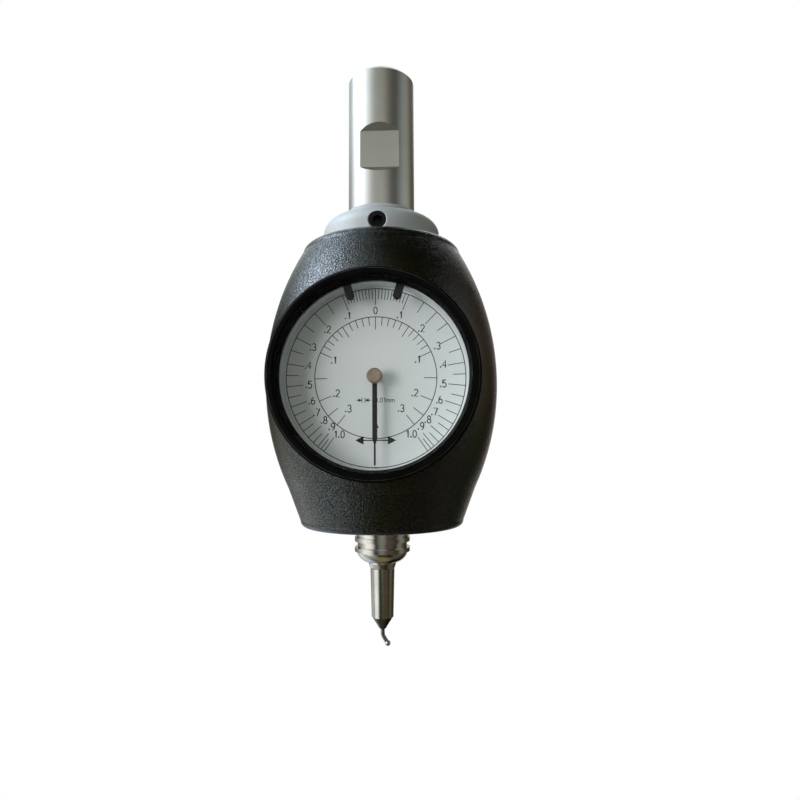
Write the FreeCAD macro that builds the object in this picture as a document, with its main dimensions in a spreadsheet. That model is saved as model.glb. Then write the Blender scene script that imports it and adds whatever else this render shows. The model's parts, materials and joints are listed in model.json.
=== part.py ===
import FreeCAD, Part
import math
import os
import types
import Sketcher

# A centring indicator that hangs in a milling spindle by its shank. The shank, the shaft under it and
# the bent probe turn with the spindle. The casing, its dial and its hand stand still on two ball bearings.
# Lengths are millimetres, angles degrees. Heights run up from the foot of the shank, and depths run out
# from the spindle's axis towards the reader, who looks along +Y.

Vector = FreeCAD.Vector
doc = FreeCAD.newDocument("CentringIndicator")
sheet = doc.addObject("Spreadsheet::Sheet", "Sizes")

driving = [
    # shank
    ("shankDiameter", 20.0, "standard side-lock shank"),
    ("shankLength", 42.3, "from its foot to its top"),
    ("shankChamfer", 1.2, "bevel round the top"),
    ("flatDepth", 1.8, "depth of the side-lock flat"),
    ("flatLength", 11.0, "floor of the flat, along the shank"),
    ("flatFromTop", 25.0, "shank's top to the middle of the flat"),
    ("centreHoleDiameter", 4.0, "mouth of the centre hole in the top"),
    ("centreHoleDepth", 3.2, "depth of that cone"),
    ("shankShoulder", 2.0, "shank's radius beyond its spigot's"),
    ("spigotLength", 9.5, "how far the spigot goes down into the collar"),
    ("grooveDepth", 0.8, "groove round the spigot for the screws' points"),
    ("groovePlay", 0.1, "groove beyond the points, each side"),
    # collar under the shank
    ("collarLipLedge", 0.6, "collar's lip beyond the shank"),
    ("collarLipBevel", 0.8, "bevel round the lip"),
    ("collarNeckDrop", 1.7, "height of the lip"),
    ("collarDomeShare", 0.72, "part of the collar outside its lip that rounds over"),
    ("collarDomeDrop", 2.4, "how far the dome's crown lies below the lip's top"),
    ("collarDiameter", 35.0, "widest part of the dome"),
    ("collarDomeBulge", 1.02, "radius of that rounding, as a part of its width"),
    ("collarHeight", 14.0, "whole height of the collar"),
    ("spigotEndGap", 0.1, "under the spigot's end"),
    ("clampScrewDiameter", 5.0, "grub screws that hold the spigot"),
    ("clampScrewDrop", 7.2, "how far the screws lie below the lip's top"),
    ("clampScrewSink", 0.7, "how far each screw sits in its hole"),
    ("clampScrewCount", 4, "screws round the collar"),
    ("clampPointDiameter", 2.2, "grub screws' dog points"),
    ("clampBevel", 0.45, "bevel round each screw's hole"),
    ("hexSocket", 2.5, "across the flats of a grub screw's socket"),
    ("hexSocketDepth", 2.0, "depth of that socket"),
    # shaft that carries the probe
    ("shaftDiameter", 15.0, "seat of both bearings"),
    ("shaftStubDiameter", 12.0, "threaded end in the collar, and bore for the nose"),
    ("shaftTopGap", 0.4, "spigot's end to the shaft's top"),
    ("shaftFlangeThickness", 2.0, "between collar and bearing"),
    ("shaftSetback", 0.9, "shaft's foot above the casing's bottom face"),
    ("noseStubLength", 5.0, "nose's threaded end in the shaft"),
    ("springChamberDiameter", 5.2, "bore for the centring springs"),
    ("springPlugLength", 4.0, "plug above the upper spring"),
    ("slotRise", 0.55, "slot in the shaft beyond the cross pin, above and below"),
    ("slotPlay", 0.1, "slot beside the cross pin, each side"),
    ("driverSlot", 0.8, "screwdriver slot in the plug"),
    ("driverSlotDepth", 1.0, "depth of that slot"),
    # ball bearings
    ("bearingRingWall", 1.5, "wall of each ring"),
    ("bearingTrackGap", 1.5, "from the inner ring's rim to the outer ring's"),
    ("bearingWidth", 5.0, "both bearings"),
    ("bearingBall", 2.4, "ball diameter"),
    ("bearingBallCount", 9, "balls in each bearing"),
    ("ballPlay", 0.03, "balls in their tracks"),
    ("lowerBearingLift", 4.9, "casing's bottom face to the lower bearing's foot"),
    ("clipThickness", 1.1, "retaining ring under the lower bearing"),
    ("clipProud", 1.1, "retaining ring beyond the shaft"),
    ("clipGrooveDepth", 0.5, "groove for the retaining ring"),
    ("clipOpening", 3.3, "gap in the retaining ring"),
    # casing
    ("casingTop", 11.0, "depth of its top face"),
    ("casingHeight", 81.9, "from its top face to its bottom face"),
    ("casingBulgeRise", 0.45, "widest place above the middle of that height"),
    ("casingDiameter", 68.0, "widest place"),
    ("casingTopDiameter", 47.3, "upper edge, under its rounding"),
    ("casingWaistDiameter", 54.5, "top of the straight skirt"),
    ("casingBottomDiameter", 47.6, "lower edge, over its rounding"),
    ("casingSkirt", 11.0, "height of the straight skirt"),
    ("casingTopRound", 2.2, "drop of the upper edge's rounding"),
    ("casingTopRoundWidth", 1.65, "width of that rounding"),
    ("casingBottomRound", 1.8, "rounding of the bottom edge"),
    ("wellWall", 2.0, "bore that the shaft turns in, beyond its bearings"),
    ("collarGap", 0.5, "clearance round and under the collar"),
    ("coverLedge", 6.0, "bottom cover beyond that bore"),
    ("coverThickness", 2.5, "bottom cover's plate"),
    ("mouthGap", 1.0, "bottom cover's mouth round the nose"),
    ("coverLip", 0.5, "cover's rim above the lower bearing"),
    ("coverScrewInset", 3.0, "cover's edge to its screws"),
    ("coverScrewCount", 3, "bottom screws"),
    ("coverScrewDiameter", 3.0, "bottom screws' thread"),
    ("coverScrewHead", 5.4, "bottom screws' heads"),
    ("coverScrewLength", 6.5, "bottom screws"),
    ("coverSocket", 2.0, "across the flats of a bottom screw's socket"),
    ("coverSocketDepth", 1.2, "depth of that socket"),
    ("stayHoleDiameter", 5.0, "threaded hole for the stay rod, in the back"),
    ("stayHoleDepth", 12.0, "from the casing's widest radius"),
    # bezel and dial
    ("dialOffset", 0.05, "dial's centre below the middle of the casing's height"),
    ("bossFront", 26.9, "casing's round shoulder, in front of the spindle's axis"),
    ("bossShoulder", 0.4, "shoulder beyond the bezel"),
    ("bossRound", 0.8, "bevel round the shoulder"),
    ("bossNeckDiameter", 51.8, "neck that the bezel turns on"),
    ("bossNeckHeight", 2.8, "height of that neck"),
    ("neckWall", 1.5, "wall of that neck"),
    ("dialSetback", 2.9, "dial's face behind the shoulder"),
    ("dialThickness", 0.5, "dial plate"),
    ("dialPlay", 0.2, "dial plate inside the neck"),
    ("dialLedge", 1.2, "ledge that the dial lies on"),
    ("dialHolePlay", 0.3, "dial's hole round the hand's boss"),
    ("chamberDepth", 12.8, "dial's face to the floor of the movement's chamber"),
    ("bezelClearance", 0.1, "running gap on the neck"),
    ("bezelSkirtWall", 0.7, "bezel's wall round the neck"),
    ("bezelFootGap", 0.2, "bezel's foot over the shoulder"),
    ("bezelEndGap", 0.3, "bezel's shelf over the neck"),
    ("bezelBevel", 0.6, "bevel round the bezel's front edge"),
    ("bezelLandWidth", 1.8, "bezel's flat front"),
    ("bezelStep", 0.5, "fine step inside the flat front"),
    ("bezelLip", 2.9, "bezel's front over the crystal"),
    ("crystalInset", 1.35, "crystal's edge inside the neck's"),
    ("crystalSeat", 0.8, "width of the crystal's seat"),
    ("crystalLift", 0.7, "back of the crystal over the neck"),
    ("crystalThickness", 1.2, "crystal"),
    ("crystalRingWidth", 0.65, "snap ring behind the crystal"),
    ("crystalRingThickness", 0.36, "snap ring behind the crystal"),
    ("rimThickness", 0.4, "thin ring that holds the dial"),
    ("rimSetback", 1.6, "front of that ring behind the crystal"),
    ("markerAngle", 16.5, "each marker from the top of the dial"),
    ("markerWidth", 2.1, "tolerance markers"),
    ("markerLength", 4.0, "tolerance markers"),
    ("markerThickness", 0.9, "tolerance markers"),
    ("markerPoint", 0.7, "bevels at a marker's tip"),
    # movement
    ("platePlay", 0.2, "movement plates in their chamber"),
    ("plateThickness", 1.2, "both movement plates"),
    ("plateSpacing", 7.4, "free height between the plates"),
    ("pillarDiameter", 3.0, "pillars between the plates"),
    ("pillarInset", 3.0, "plates' edge to the pillars"),
    ("pillarCount", 3, "pillars"),
    ("plateScrewHead", 3.4, "heads of the plate screws"),
    ("plateScrewHeadHeight", 0.8, "heads of the plate screws"),
    ("plateScrewDiameter", 1.6, "thread of the plate screws"),
    ("plateScrewLength", 3.6, "threaded holes of the plate screws"),
    ("plateScrewSlot", 0.56, "slot in the plate screws"),
    ("plateScrewEnd", 0.2, "screw's end to the floor of its hole"),
    ("holdAngle", 26.5, "movement's fixing screws below the dial's middle, seen round its centre"),
    ("arborDiameter", 1.2, "all three arbors"),
    ("arborClearance", 0.03, "arbors in their pivot holes"),
    ("arborEnd", 0.1, "arbors' ends behind the plates' faces"),
    ("wheelEdge", 0.66, "intermediate wheel's teeth inside the plates' edge"),
    ("addendum", 0.85, "tooth over its pitch circle, in modules"),
    ("dedendum", 1.1, "tooth under its pitch circle, in modules"),
    ("pressureAngle", 25.0, "tooth flank"),
    ("toothThinning", 0.06, "backlash taken off each tooth"),
    ("pinionTeeth", 10, "both pinions"),
    ("wheelTeeth", 50, "intermediate wheel"),
    ("sectorTeeth", 100, "sector, as if it went all round"),
    ("sectorToothSpan", 4, "teeth cut each side of the sector's middle"),
    ("sectorEnd", 0.8, "sector beyond its last teeth, in teeth"),
    ("sectorEdge", 5.0, "sector's arbor inside the plates' edge"),
    ("sectorArm", 2.4, "sector's arbor to its ball"),
    ("sectorLift", 2.2, "back plate to the sector's plate"),
    ("sectorHub", 4.1, "round hub of the sector"),
    ("sectorFlare", 62.0, "where the arm's sides leave the hub"),
    ("sectorRim", 2.2, "sector's rim behind its teeth"),
    ("sectorWindowStart", 5.3, "arbor to the window"),
    ("sectorWindowNear", 9.0, "half the window's angle at its near end"),
    ("sectorWindowFar", 10.4, "half the window's angle at the rim"),
    ("gearThickness", 0.8, "sector and wheel"),
    ("wheelLift", 2.8, "back of the sector's plate to the back of the wheel"),
    ("pinionOverhang", 0.7, "pinion proud of its wheel on both sides"),
    ("crankHub", 2.9, "crank's hub on the arbor"),
    ("crankEnd", 2.3, "crank's round end over its pin"),
    ("crankWeb", 1.9, "crank's web"),
    ("crankPin", 1.1, "pin that carries the ball"),
    ("crankGap", 0.2, "crank over the back plate"),
    ("crankBackset", 0.1, "crank behind the sector's plate"),
    ("crankHole", 3.2, "hole in the back plate round the pin"),
    ("crankBall", 1.6, "sector's ball"),
    ("crankBallPlay", 0.02, "ball in its groove, each side"),
    ("crankBallGap", 0.1, "ball over the groove's floor"),
    ("hairspringLift", 0.6, "back plate to the hairspring"),
    ("hairspringWidth", 0.9, "hairspring strip's width"),
    ("hairspringStrip", 0.15, "hairspring strip's thickness"),
    ("hairspringTurns", 4, "turns"),
    ("hairspringInner", 1.75, "radius at its inner end"),
    ("hairspringPitch", 0.8, "from turn to turn"),
    ("studDiameter", 1.0, "stud at the hairspring's outer end"),
    # hand
    ("handLift", 2.8, "back of the hand's blade over the dial"),
    ("handThickness", 0.3, "hand's blade"),
    ("handWidth", 1.25, "hand's wide part"),
    ("handInset", 1.4, "needle's tip inside the dial's edge"),
    ("needleLength", 6.8, "tip to the end of the wide part"),
    ("needleWidth", 0.45, "hand's needle"),
    ("handBoss", 2.6, "hand's boss"),
    ("handBossLength", 2.1, "hand's boss"),
    ("handBossRise", 0.2, "boss in front of the blade"),
    ("capDiameter", 4.0, "round cap on the hand"),
    ("capThickness", 1.3, "round cap on the hand"),
    ("capRound", 0.43, "rounding of the cap"),
    # push rod
    ("rodDiameter", 3.0, "push rod"),
    ("rodClearance", 0.06, "push rod in its bore"),
    ("rodPilotDiameter", 2.4, "rod's end in the upper spring"),
    ("rodPilotLength", 2.5, "that end"),
    ("rodShoulderHeight", 1.0, "shoulder between the springs"),
    ("shoulderPlay", 0.2, "shoulder in the spring chamber, each side"),
    ("rodTipGap", 0.04, "rod's tip over the lever"),
    ("chamberRise", 4.0, "sliding collar's middle to the spring chamber's floor"),
    ("springSpan", 12.5, "room for each centring spring"),
    ("springWire", 0.5, "centring springs' wire"),
    ("springPlay", 0.15, "centring springs in their chamber, each side"),
    ("springTurns", 5, "each centring spring"),
    ("slideClearance", 0.05, "sliding collar on the shaft"),
    ("slideWall", 1.45, "sliding collar under its groove"),
    ("slideGrooveDepth", 1.5, "groove for the sector's ball"),
    ("slideHeight", 6.0, "sliding collar"),
    ("crossPinDiameter", 1.5, "pin through the rod"),
    ("crossPinInset", 0.2, "pin's ends inside the groove's floor"),
    # nose and probe
    ("noseDiameter", 16.0, "nose above its flanges"),
    ("noseLength", 3.6, "nose above its fine groove"),
    ("lineCut", 0.4, "depth of the fine groove above the first flange"),
    ("lineHeight", 0.7, "height of that groove"),
    ("flangeProud", 0.1, "both thin flanges beyond the nose"),
    ("flangeThickness", 1.2, "both flanges"),
    ("noseNeckCut", 0.75, "depth of the groove between the flanges"),
    ("noseNeckHeight", 1.7, "height of that groove"),
    ("bowlInset", 0.5, "bowl's start inside the nose"),
    ("bowlHeight", 2.9, "bowl below the second flange"),
    ("bowlRadius", 4.2, "rounding of the bowl"),
    ("bowlRim", 0.45, "rim of the bowl's mouth"),
    ("noseStubWall", 0.8, "wall of the nose's threaded end"),
    ("noseFloor", 2.5, "bowl's mouth to the hollow's floor"),
    ("mouthPlay", 0.65, "mouth round the probe's sleeve"),
    ("pivotLift", 2.8, "hollow's floor to the probe's pivot"),
    ("pivotOffset", 3.0, "pivot to the push rod's axis"),
    ("pivotPinDiameter", 1.2, "pivot pin"),
    ("blockRise", 1.5, "pivot block above the pivot"),
    ("blockClearance", 0.05, "pivot block in the nose"),
    ("leverThickness", 3.4, "lever's blade"),
    ("leverPlay", 0.1, "blade in the block's slot, each side"),
    ("leverRise", 2.56, "blade above the pivot"),
    ("leverLeft", 4.0, "blade's edge beyond the spindle's axis, on the pivot's side"),
    ("leverRight", 2.6, "blade's other edge"),
    ("sleeveDiameter", 8.2, "sleeve in the nose's mouth"),
    ("sleeveSink", 1.7, "sleeve inside the mouth"),
    ("sleeveShow", 0.6, "straight part of the sleeve below the mouth"),
    ("sleeveTaper", 0.45, "sleeve's taper, each side"),
    ("sleeveTaperHeight", 1.3, "sleeve's tapered part"),
    ("jointGap", 0.2, "dark line between sleeve and barrel"),
    ("probeSpigot", 5.0, "spigot under the sleeve"),
    ("probeSpigotLength", 3.8, "that spigot"),
    ("barrelStep", 0.1, "barrel's top inside the sleeve's edge"),
    ("barrelTaper", 0.35, "barrel's taper, each side"),
    ("barrelLength", 13.9, "probe barrel"),
    ("barrelShelf", 0.5, "slope inside the barrel, under the spigot"),
    ("colletShank", 3.2, "collet inside the barrel"),
    ("colletSink", 8.3, "collet inside the barrel"),
    ("nutStep", 0.1, "clamping nut's top inside the barrel's edge"),
    ("nutTaper", 0.8, "nut's taper, each side"),
    ("nutHeight", 1.3, "clamping nut"),
    ("coneStep", 0.1, "fine step between nut and cone"),
    ("coneWall", 0.35, "collet's wall at its tip"),
    ("coneHeight", 2.1, "collet's cone"),
    ("stemDiameter", 1.2, "stylus stem"),
    ("stemHeld", 5.7, "stem inside the collet"),
    ("stemDrop", 1.9, "collet's tip to the bend"),
    ("stemBendRadius", 2.0, "bend"),
    ("stemTilt", 32.0, "bent stretch from the vertical"),
    ("stemReach", 2.7, "bend to the ball's centre"),
    ("ballDiameter", 1.7, "ball at the tip"),
    ("stemBallInset", 0.47, "stem's end short of the ball's centre"),
    ("seatPlay", 0.02, "pressed and screwed seats"),
    ("toolReach", 1.0, "how far a cutting shape runs past what it cuts"),
]
for row, (alias, number, note) in enumerate(driving, start=1):
    sheet.set(f"A{row}", note)
    sheet.set(f"B{row}", str(number))
    sheet.setAlias(f"B{row}", alias)
doc.recompute()


class Size:
    # a number together with the sheet formula that gives it
    def __init__(self, number, formula):
        self.number = number
        self.formula = formula

    def __add__(self, other):
        other = asSize(other)
        return Size(self.number + other.number, f"({self.formula} + {other.formula})")

    def __sub__(self, other):
        other = asSize(other)
        return Size(self.number - other.number, f"({self.formula} - {other.formula})")

    def __mul__(self, other):
        other = asSize(other)
        return Size(self.number * other.number, f"({self.formula} * {other.formula})")

    def __truediv__(self, other):
        other = asSize(other)
        return Size(self.number / other.number, f"({self.formula} / {other.formula})")

    def __radd__(self, other):
        return asSize(other) + self

    def __rsub__(self, other):
        return asSize(other) - self

    def __rmul__(self, other):
        return asSize(other) * self

    def __neg__(self):
        return Size(-self.number, f"(0 - {self.formula})")


def asSize(value):
    return value if isinstance(value, Size) else Size(float(value), f"{float(value)!r}")


def root(value):
    return Size(math.sqrt(value.number), f"sqrt({value.formula})")


s = types.SimpleNamespace(**{a: Size(float(sheet.get(a)), f"Sizes.{a}") for a, _, _ in driving})
nodes = []

# diameters that follow from the driving sizes, from the spindle outwards
spigotDiameter = s.shankDiameter - s.shankShoulder * 2
collarLipDiameter = s.shankDiameter + s.collarLipLedge * 2
collarNeckDiameter = collarLipDiameter + s.collarLipBevel * 2
bearingInnerRim = s.shaftDiameter + s.bearingRingWall * 2
bearingOuterRim = bearingInnerRim + s.bearingTrackGap * 2
bearingOutside = bearingOuterRim + s.bearingRingWall * 2
clipGroove = s.shaftDiameter - s.clipGrooveDepth * 2
clipOutside = s.shaftDiameter + s.clipProud * 2
slideBore = s.shaftDiameter + s.slideClearance * 2
slideGrooveFloor = slideBore + s.slideWall * 2
slideDiameter = slideGrooveFloor + s.slideGrooveDepth * 2
crossPinLength = slideGrooveFloor - s.crossPinInset * 2
casingWell = bearingOutside + s.wellWall * 2
coverDiameter = casingWell + s.coverLedge * 2
coverMouth = s.noseDiameter + s.mouthGap * 2
bezelDiameter = s.bossNeckDiameter + (s.bezelClearance + s.bezelSkirtWall) * 2
bossDiameter = bezelDiameter + s.bossShoulder * 2
crystalDiameter = s.bossNeckDiameter - s.crystalInset * 2
frontChamberDiameter = s.bossNeckDiameter - s.neckWall * 2
dialDiameter = frontChamberDiameter - s.dialPlay * 2
chamberDiameter = frontChamberDiameter - s.dialLedge * 2
plateDiameter = chamberDiameter - s.platePlay * 2
pillarRadius = plateDiameter / 2 - s.pillarInset
noseBore = s.shaftStubDiameter - s.noseStubWall * 2
noseMouth = s.sleeveDiameter + s.mouthPlay * 2
sleeveFoot = s.sleeveDiameter - s.sleeveTaper * 2
barrelTopDiameter = sleeveFoot - s.barrelStep * 2
barrelFootDiameter = barrelTopDiameter - s.barrelTaper * 2
nutDiameter = barrelFootDiameter - s.nutStep * 2
nutFoot = nutDiameter - s.nutTaper * 2
coneFoot = s.stemDiameter + s.coneWall * 2
handLength = dialDiameter / 2 - s.handInset

# depths below the shank's foot
casingBottom = s.casingTop + s.casingHeight
casingMiddle = s.casingTop + s.casingHeight / 2 - s.casingBulgeRise
dialDepth = s.casingTop + s.casingHeight / 2 + s.dialOffset
upperBearingTop = s.collarHeight + s.shaftFlangeThickness
lowerBearingFoot = casingBottom - s.lowerBearingLift
lowerBearingTop = lowerBearingFoot - s.bearingWidth
shaftEnd = casingBottom - s.shaftSetback
slideDepth = dialDepth + plateDiameter / 2 - s.sectorEdge
springChamberEnd = slideDepth - s.chamberRise
shoulderFoot = springChamberEnd - s.springSpan
shoulderTop = shoulderFoot - s.rodShoulderHeight
springPlugFoot = shoulderTop - s.springSpan
noseLineTop = shaftEnd + s.noseLength
firstFlangeTop = noseLineTop + s.lineHeight
firstFlangeFoot = firstFlangeTop + s.flangeThickness
secondFlangeTop = firstFlangeFoot + s.noseNeckHeight
secondFlangeFoot = secondFlangeTop + s.flangeThickness
noseBottom = secondFlangeFoot + s.bowlHeight
noseBoreEnd = noseBottom - s.noseFloor
pivotDepth = noseBoreEnd - s.pivotLift
leverTop = pivotDepth - s.leverRise
sleeveTop = noseBottom - s.sleeveSink
sleeveTaperTop = noseBottom + s.sleeveShow
sleeveEnd = sleeveTaperTop + s.sleeveTaperHeight
probeSpigotEnd = sleeveEnd + s.probeSpigotLength
barrelTop = sleeveEnd + s.jointGap
barrelEnd = barrelTop + s.barrelLength
nutEnd = barrelEnd + s.nutHeight
coneEnd = nutEnd + s.coneHeight
stemTop = coneEnd - s.stemHeld
stemBend = coneEnd + s.stemDrop

# depths in front of the spindle's axis
bossNeckFront = s.bossFront + s.bossNeckHeight
dialFront = s.bossFront - s.dialSetback
dialBack = dialFront - s.dialThickness
chamberFloor = dialFront - s.chamberDepth
backPlateFront = chamberFloor + s.plateThickness
frontPlateBack = backPlateFront + s.plateSpacing
frontPlateFront = frontPlateBack + s.plateThickness
hairspringDepth = backPlateFront + s.hairspringLift
sectorPlateDepth = backPlateFront + s.sectorLift
wheelDepth = sectorPlateDepth + s.wheelLift
handBack = dialFront + s.handLift
crystalBack = bossNeckFront + s.crystalLift
crystalFront = crystalBack + s.crystalThickness
bezelFront = crystalFront + s.bezelLip
rimFront = crystalBack - s.rimSetback

# the wheel's teeth reach to a set distance inside the plates' edge, which gives the module
gearModule = (plateDiameter / 2 - s.wheelEdge) / (s.wheelTeeth + s.pinionTeeth / 2 + s.addendum)


def keep(obj, label):
    # a finished piece: its label names its file
    obj.Label = label
    nodes.append(obj)
    return obj


def bind(obj, name, value):
    value = asSize(value)
    obj.setExpression(name, value.formula)


def place(obj, x=0, y=0, z=0, rotation=None):
    numbers = [asSize(v).number for v in (x, y, z)]
    obj.Placement = FreeCAD.Placement(Vector(*numbers), rotation or FreeCAD.Rotation())
    for axis, value in zip("xyz", (x, y, z)):
        bind(obj, f"Placement.Base.{axis}", value)
    return obj


# local +Z turns to the reader, local +Y stays up
facing = FreeCAD.Rotation(Vector(1, 0, 0), 90)


def drawOutline(body, name, plane, outline):
    # closed outline in a sketch: (x, y) starts a line, (x, y, radius, turn) starts an arc to the next corner
    sketch = body.newObject("Sketcher::SketchObject", name)
    support = [f for f in body.Origin.OriginFeatures if f.Role == plane][0]
    sketch.AttachmentSupport = [(support, "")]
    sketch.MapMode = "FlatFace"
    count = len(outline)
    ends = []
    for index, corner in enumerate(outline):
        here = [asSize(v) for v in corner[:2]]
        there = [asSize(v) for v in outline[(index + 1) % count][:2]]
        start = Vector(here[0].number, here[1].number, 0)
        stop = Vector(there[0].number, there[1].number, 0)
        if len(corner) == 2:
            geo = sketch.addGeometry(Part.LineSegment(start, stop))
            ends.append((geo, 1, 2))
        else:
            radius, turn = asSize(corner[2]), corner[3]
            chord = stop - start
            reach = math.sqrt(max(radius.number ** 2 - (chord.Length / 2) ** 2, 0))
            side = Vector(-chord.y, chord.x, 0).normalize() * reach * turn
            centre = (start + stop) / 2 + side
            first, last = (start, stop) if turn > 0 else (stop, start)
            circle = Part.Circle(centre, Vector(0, 0, 1), radius.number)
            arc = Part.ArcOfCircle(circle, circle.parameter(first), circle.parameter(last))
            geo = sketch.addGeometry(arc)
            ends.append((geo, 1, 2) if turn > 0 else (geo, 2, 1))
            constraint = sketch.addConstraint(Sketcher.Constraint("Radius", geo, radius.number))
            sketch.setExpression(f"Constraints[{constraint}]", radius.formula)
    for index, corner in enumerate(outline):
        geo, head, tail = ends[index]
        after, afterHead, _ = ends[(index + 1) % count]
        sketch.addConstraint(Sketcher.Constraint("Coincident", geo, tail, after, afterHead))
        for kind, axis, value in (("DistanceX", -2, corner[0]), ("DistanceY", -1, corner[1])):
            value = asSize(value)
            if abs(value.number) < 1e-9:
                sketch.addConstraint(Sketcher.Constraint("PointOnObject", geo, head, axis))
            else:
                constraint = sketch.addConstraint(Sketcher.Constraint(kind, -1, 1, geo, head, value.number))
                sketch.setExpression(f"Constraints[{constraint}]", value.formula)
    sketch.Visibility = False
    return sketch


def turned(name, outline):
    # a body turned about its own Z, from an outline of (radius, height) corners
    body = doc.addObject("PartDesign::Body", name)
    sketch = drawOutline(body, name + "Profile", "XZ_Plane", outline)
    turn = body.newObject("PartDesign::Revolution", name + "Turned")
    turn.Profile = sketch
    turn.ReferenceAxis = (sketch, ["V_Axis"])
    turn.Angle = 360
    body.Tip = turn
    return body


def padded(name, outline, bottom, height):
    # a body padded up from an outline of (x, y) corners
    body = doc.addObject("PartDesign::Body", name)
    sketch = drawOutline(body, name + "Profile", "XY_Plane", outline)
    bind(sketch, "AttachmentOffset.Base.z", bottom)
    pad = body.newObject("PartDesign::Pad", name + "Pad")
    pad.Profile = sketch
    bind(pad, "Length", height)
    body.Tip = pad
    return body


def cylinder(name, diameter, bottom, height, x=0, y=0):
    obj = doc.addObject("Part::Cylinder", name)
    bind(obj, "Radius", asSize(diameter) / 2)
    bind(obj, "Height", height)
    return place(obj, x, y, bottom)


def disc(name, diameter, back, thickness, x=0, z=0):
    # a cylinder whose axis faces the reader, from the depth of its back
    obj = doc.addObject("Part::Cylinder", name)
    bind(obj, "Radius", asSize(diameter) / 2)
    bind(obj, "Height", thickness)
    return place(obj, x, -asSize(back), z, facing)


def ball(name, diameter, x, y, z):
    obj = doc.addObject("Part::Sphere", name)
    bind(obj, "Radius", asSize(diameter) / 2)
    return place(obj, x, y, z)


def fused(name, pieces):
    obj = doc.addObject("Part::MultiFuse", name)
    obj.Shapes = pieces
    return obj


def cut(name, base, tools):
    obj = doc.addObject("Part::Cut", name)
    obj.Base = base
    obj.Tool = tools[0] if len(tools) == 1 else fused(name + "Tools", tools)
    return obj


def group(name, pieces):
    obj = doc.addObject("Part::Compound", name)
    obj.Links = pieces
    return obj


def around(count, start=0.0):
    return [start + 360.0 * i / count for i in range(int(count))]


def onCircle(radius, angle):
    # a point on a circle of that radius, as sizes
    turn = math.radians(angle)
    return radius * math.cos(turn), radius * math.sin(turn)


def shank():
    r = s.shankDiameter / 2
    spigot = spigotDiameter / 2
    hole = s.centreHoleDiameter / 2
    groove = s.grooveDepth
    floor = s.clampPointDiameter / 2 + s.groovePlay
    drop = s.clampScrewDrop
    middle = s.shankLength - s.flatFromTop
    half = s.flatLength / 2
    body = turned("Shank", [
        (0, s.shankLength - s.centreHoleDepth), (hole, s.shankLength),
        (r - s.shankChamfer, s.shankLength), (r, s.shankLength - s.shankChamfer),
        (r, middle + half), (r, middle - half), (r, 0),
        (spigot, 0), (spigot, -drop + floor + groove / 2), (spigot - groove, -drop + floor),
        (spigot - groove, -drop - floor), (spigot, -drop - floor - groove / 2),
        (spigot, -s.spigotLength), (0, -s.spigotLength)])
    # the wall stays three faces, so that the one beside the flat ends where the flat does
    body.Tip.Refine = False
    face = r - s.flatDepth
    run = s.flatDepth + s.toolReach
    sketch = drawOutline(body, "FlatProfile", "YZ_Plane", [
        (-face, middle - half), (-face, middle + half),
        (-face - run, middle + half + run), (-face - run, middle - half - run)])
    pocket = body.newObject("PartDesign::Pocket", "FlatCut")
    pocket.Profile = sketch
    pocket.Midplane = True
    pocket.Refine = False
    bind(pocket, "Length", s.shankDiameter * 2)
    body.Tip = pocket
    keep(body, "shank")


def collar():
    bore = spigotDiameter / 2 + s.seatPlay
    lip = collarLipDiameter / 2
    neck = collarNeckDiameter / 2
    outer = s.collarDiameter / 2
    stub = s.shaftStubDiameter / 2 + s.seatPlay
    shelf = s.spigotLength + s.spigotEndGap
    dome = (outer - neck) * s.collarDomeShare
    body = turned("Collar", [
        (bore, 0), (lip, 0), (neck, lip - neck), (neck, -s.collarNeckDrop),
        (outer - dome, -s.collarDomeDrop, dome * s.collarDomeBulge, -1), (outer, -s.collarDomeDrop - dome),
        (outer, -s.collarHeight), (stub, -s.collarHeight), (stub, -shelf), (bore, -shelf)])
    holes = []
    start = outer - s.clampBevel
    for index, angle in enumerate(around(s.clampScrewCount.number, -90)):
        hole = doc.addObject("Part::Cylinder", f"ClampHole{index}")
        bind(hole, "Radius", s.clampScrewDiameter / 2)
        bind(hole, "Height", outer + s.toolReach)
        holes.append(place(hole, 0, 0, -s.clampScrewDrop, radial(angle)))
        # bevel at the hole's mouth
        bevel = doc.addObject("Part::Cone", f"ClampBevel{index}")
        bind(bevel, "Radius1", s.clampScrewDiameter / 2)
        bind(bevel, "Radius2", s.clampScrewDiameter / 2 + s.clampBevel + s.toolReach)
        bind(bevel, "Height", s.clampBevel + s.toolReach)
        x, y = onCircle(start, angle)
        holes.append(place(bevel, x, y, -s.clampScrewDrop, radial(angle)))
    keep(cut("CollarDrilled", body, holes), "shank_collar")


def radial(angle):
    # local +Z points out from the spindle's axis at that angle
    return FreeCAD.Rotation(Vector(0, 0, 1), angle).multiply(FreeCAD.Rotation(Vector(0, 1, 0), 90))


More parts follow.
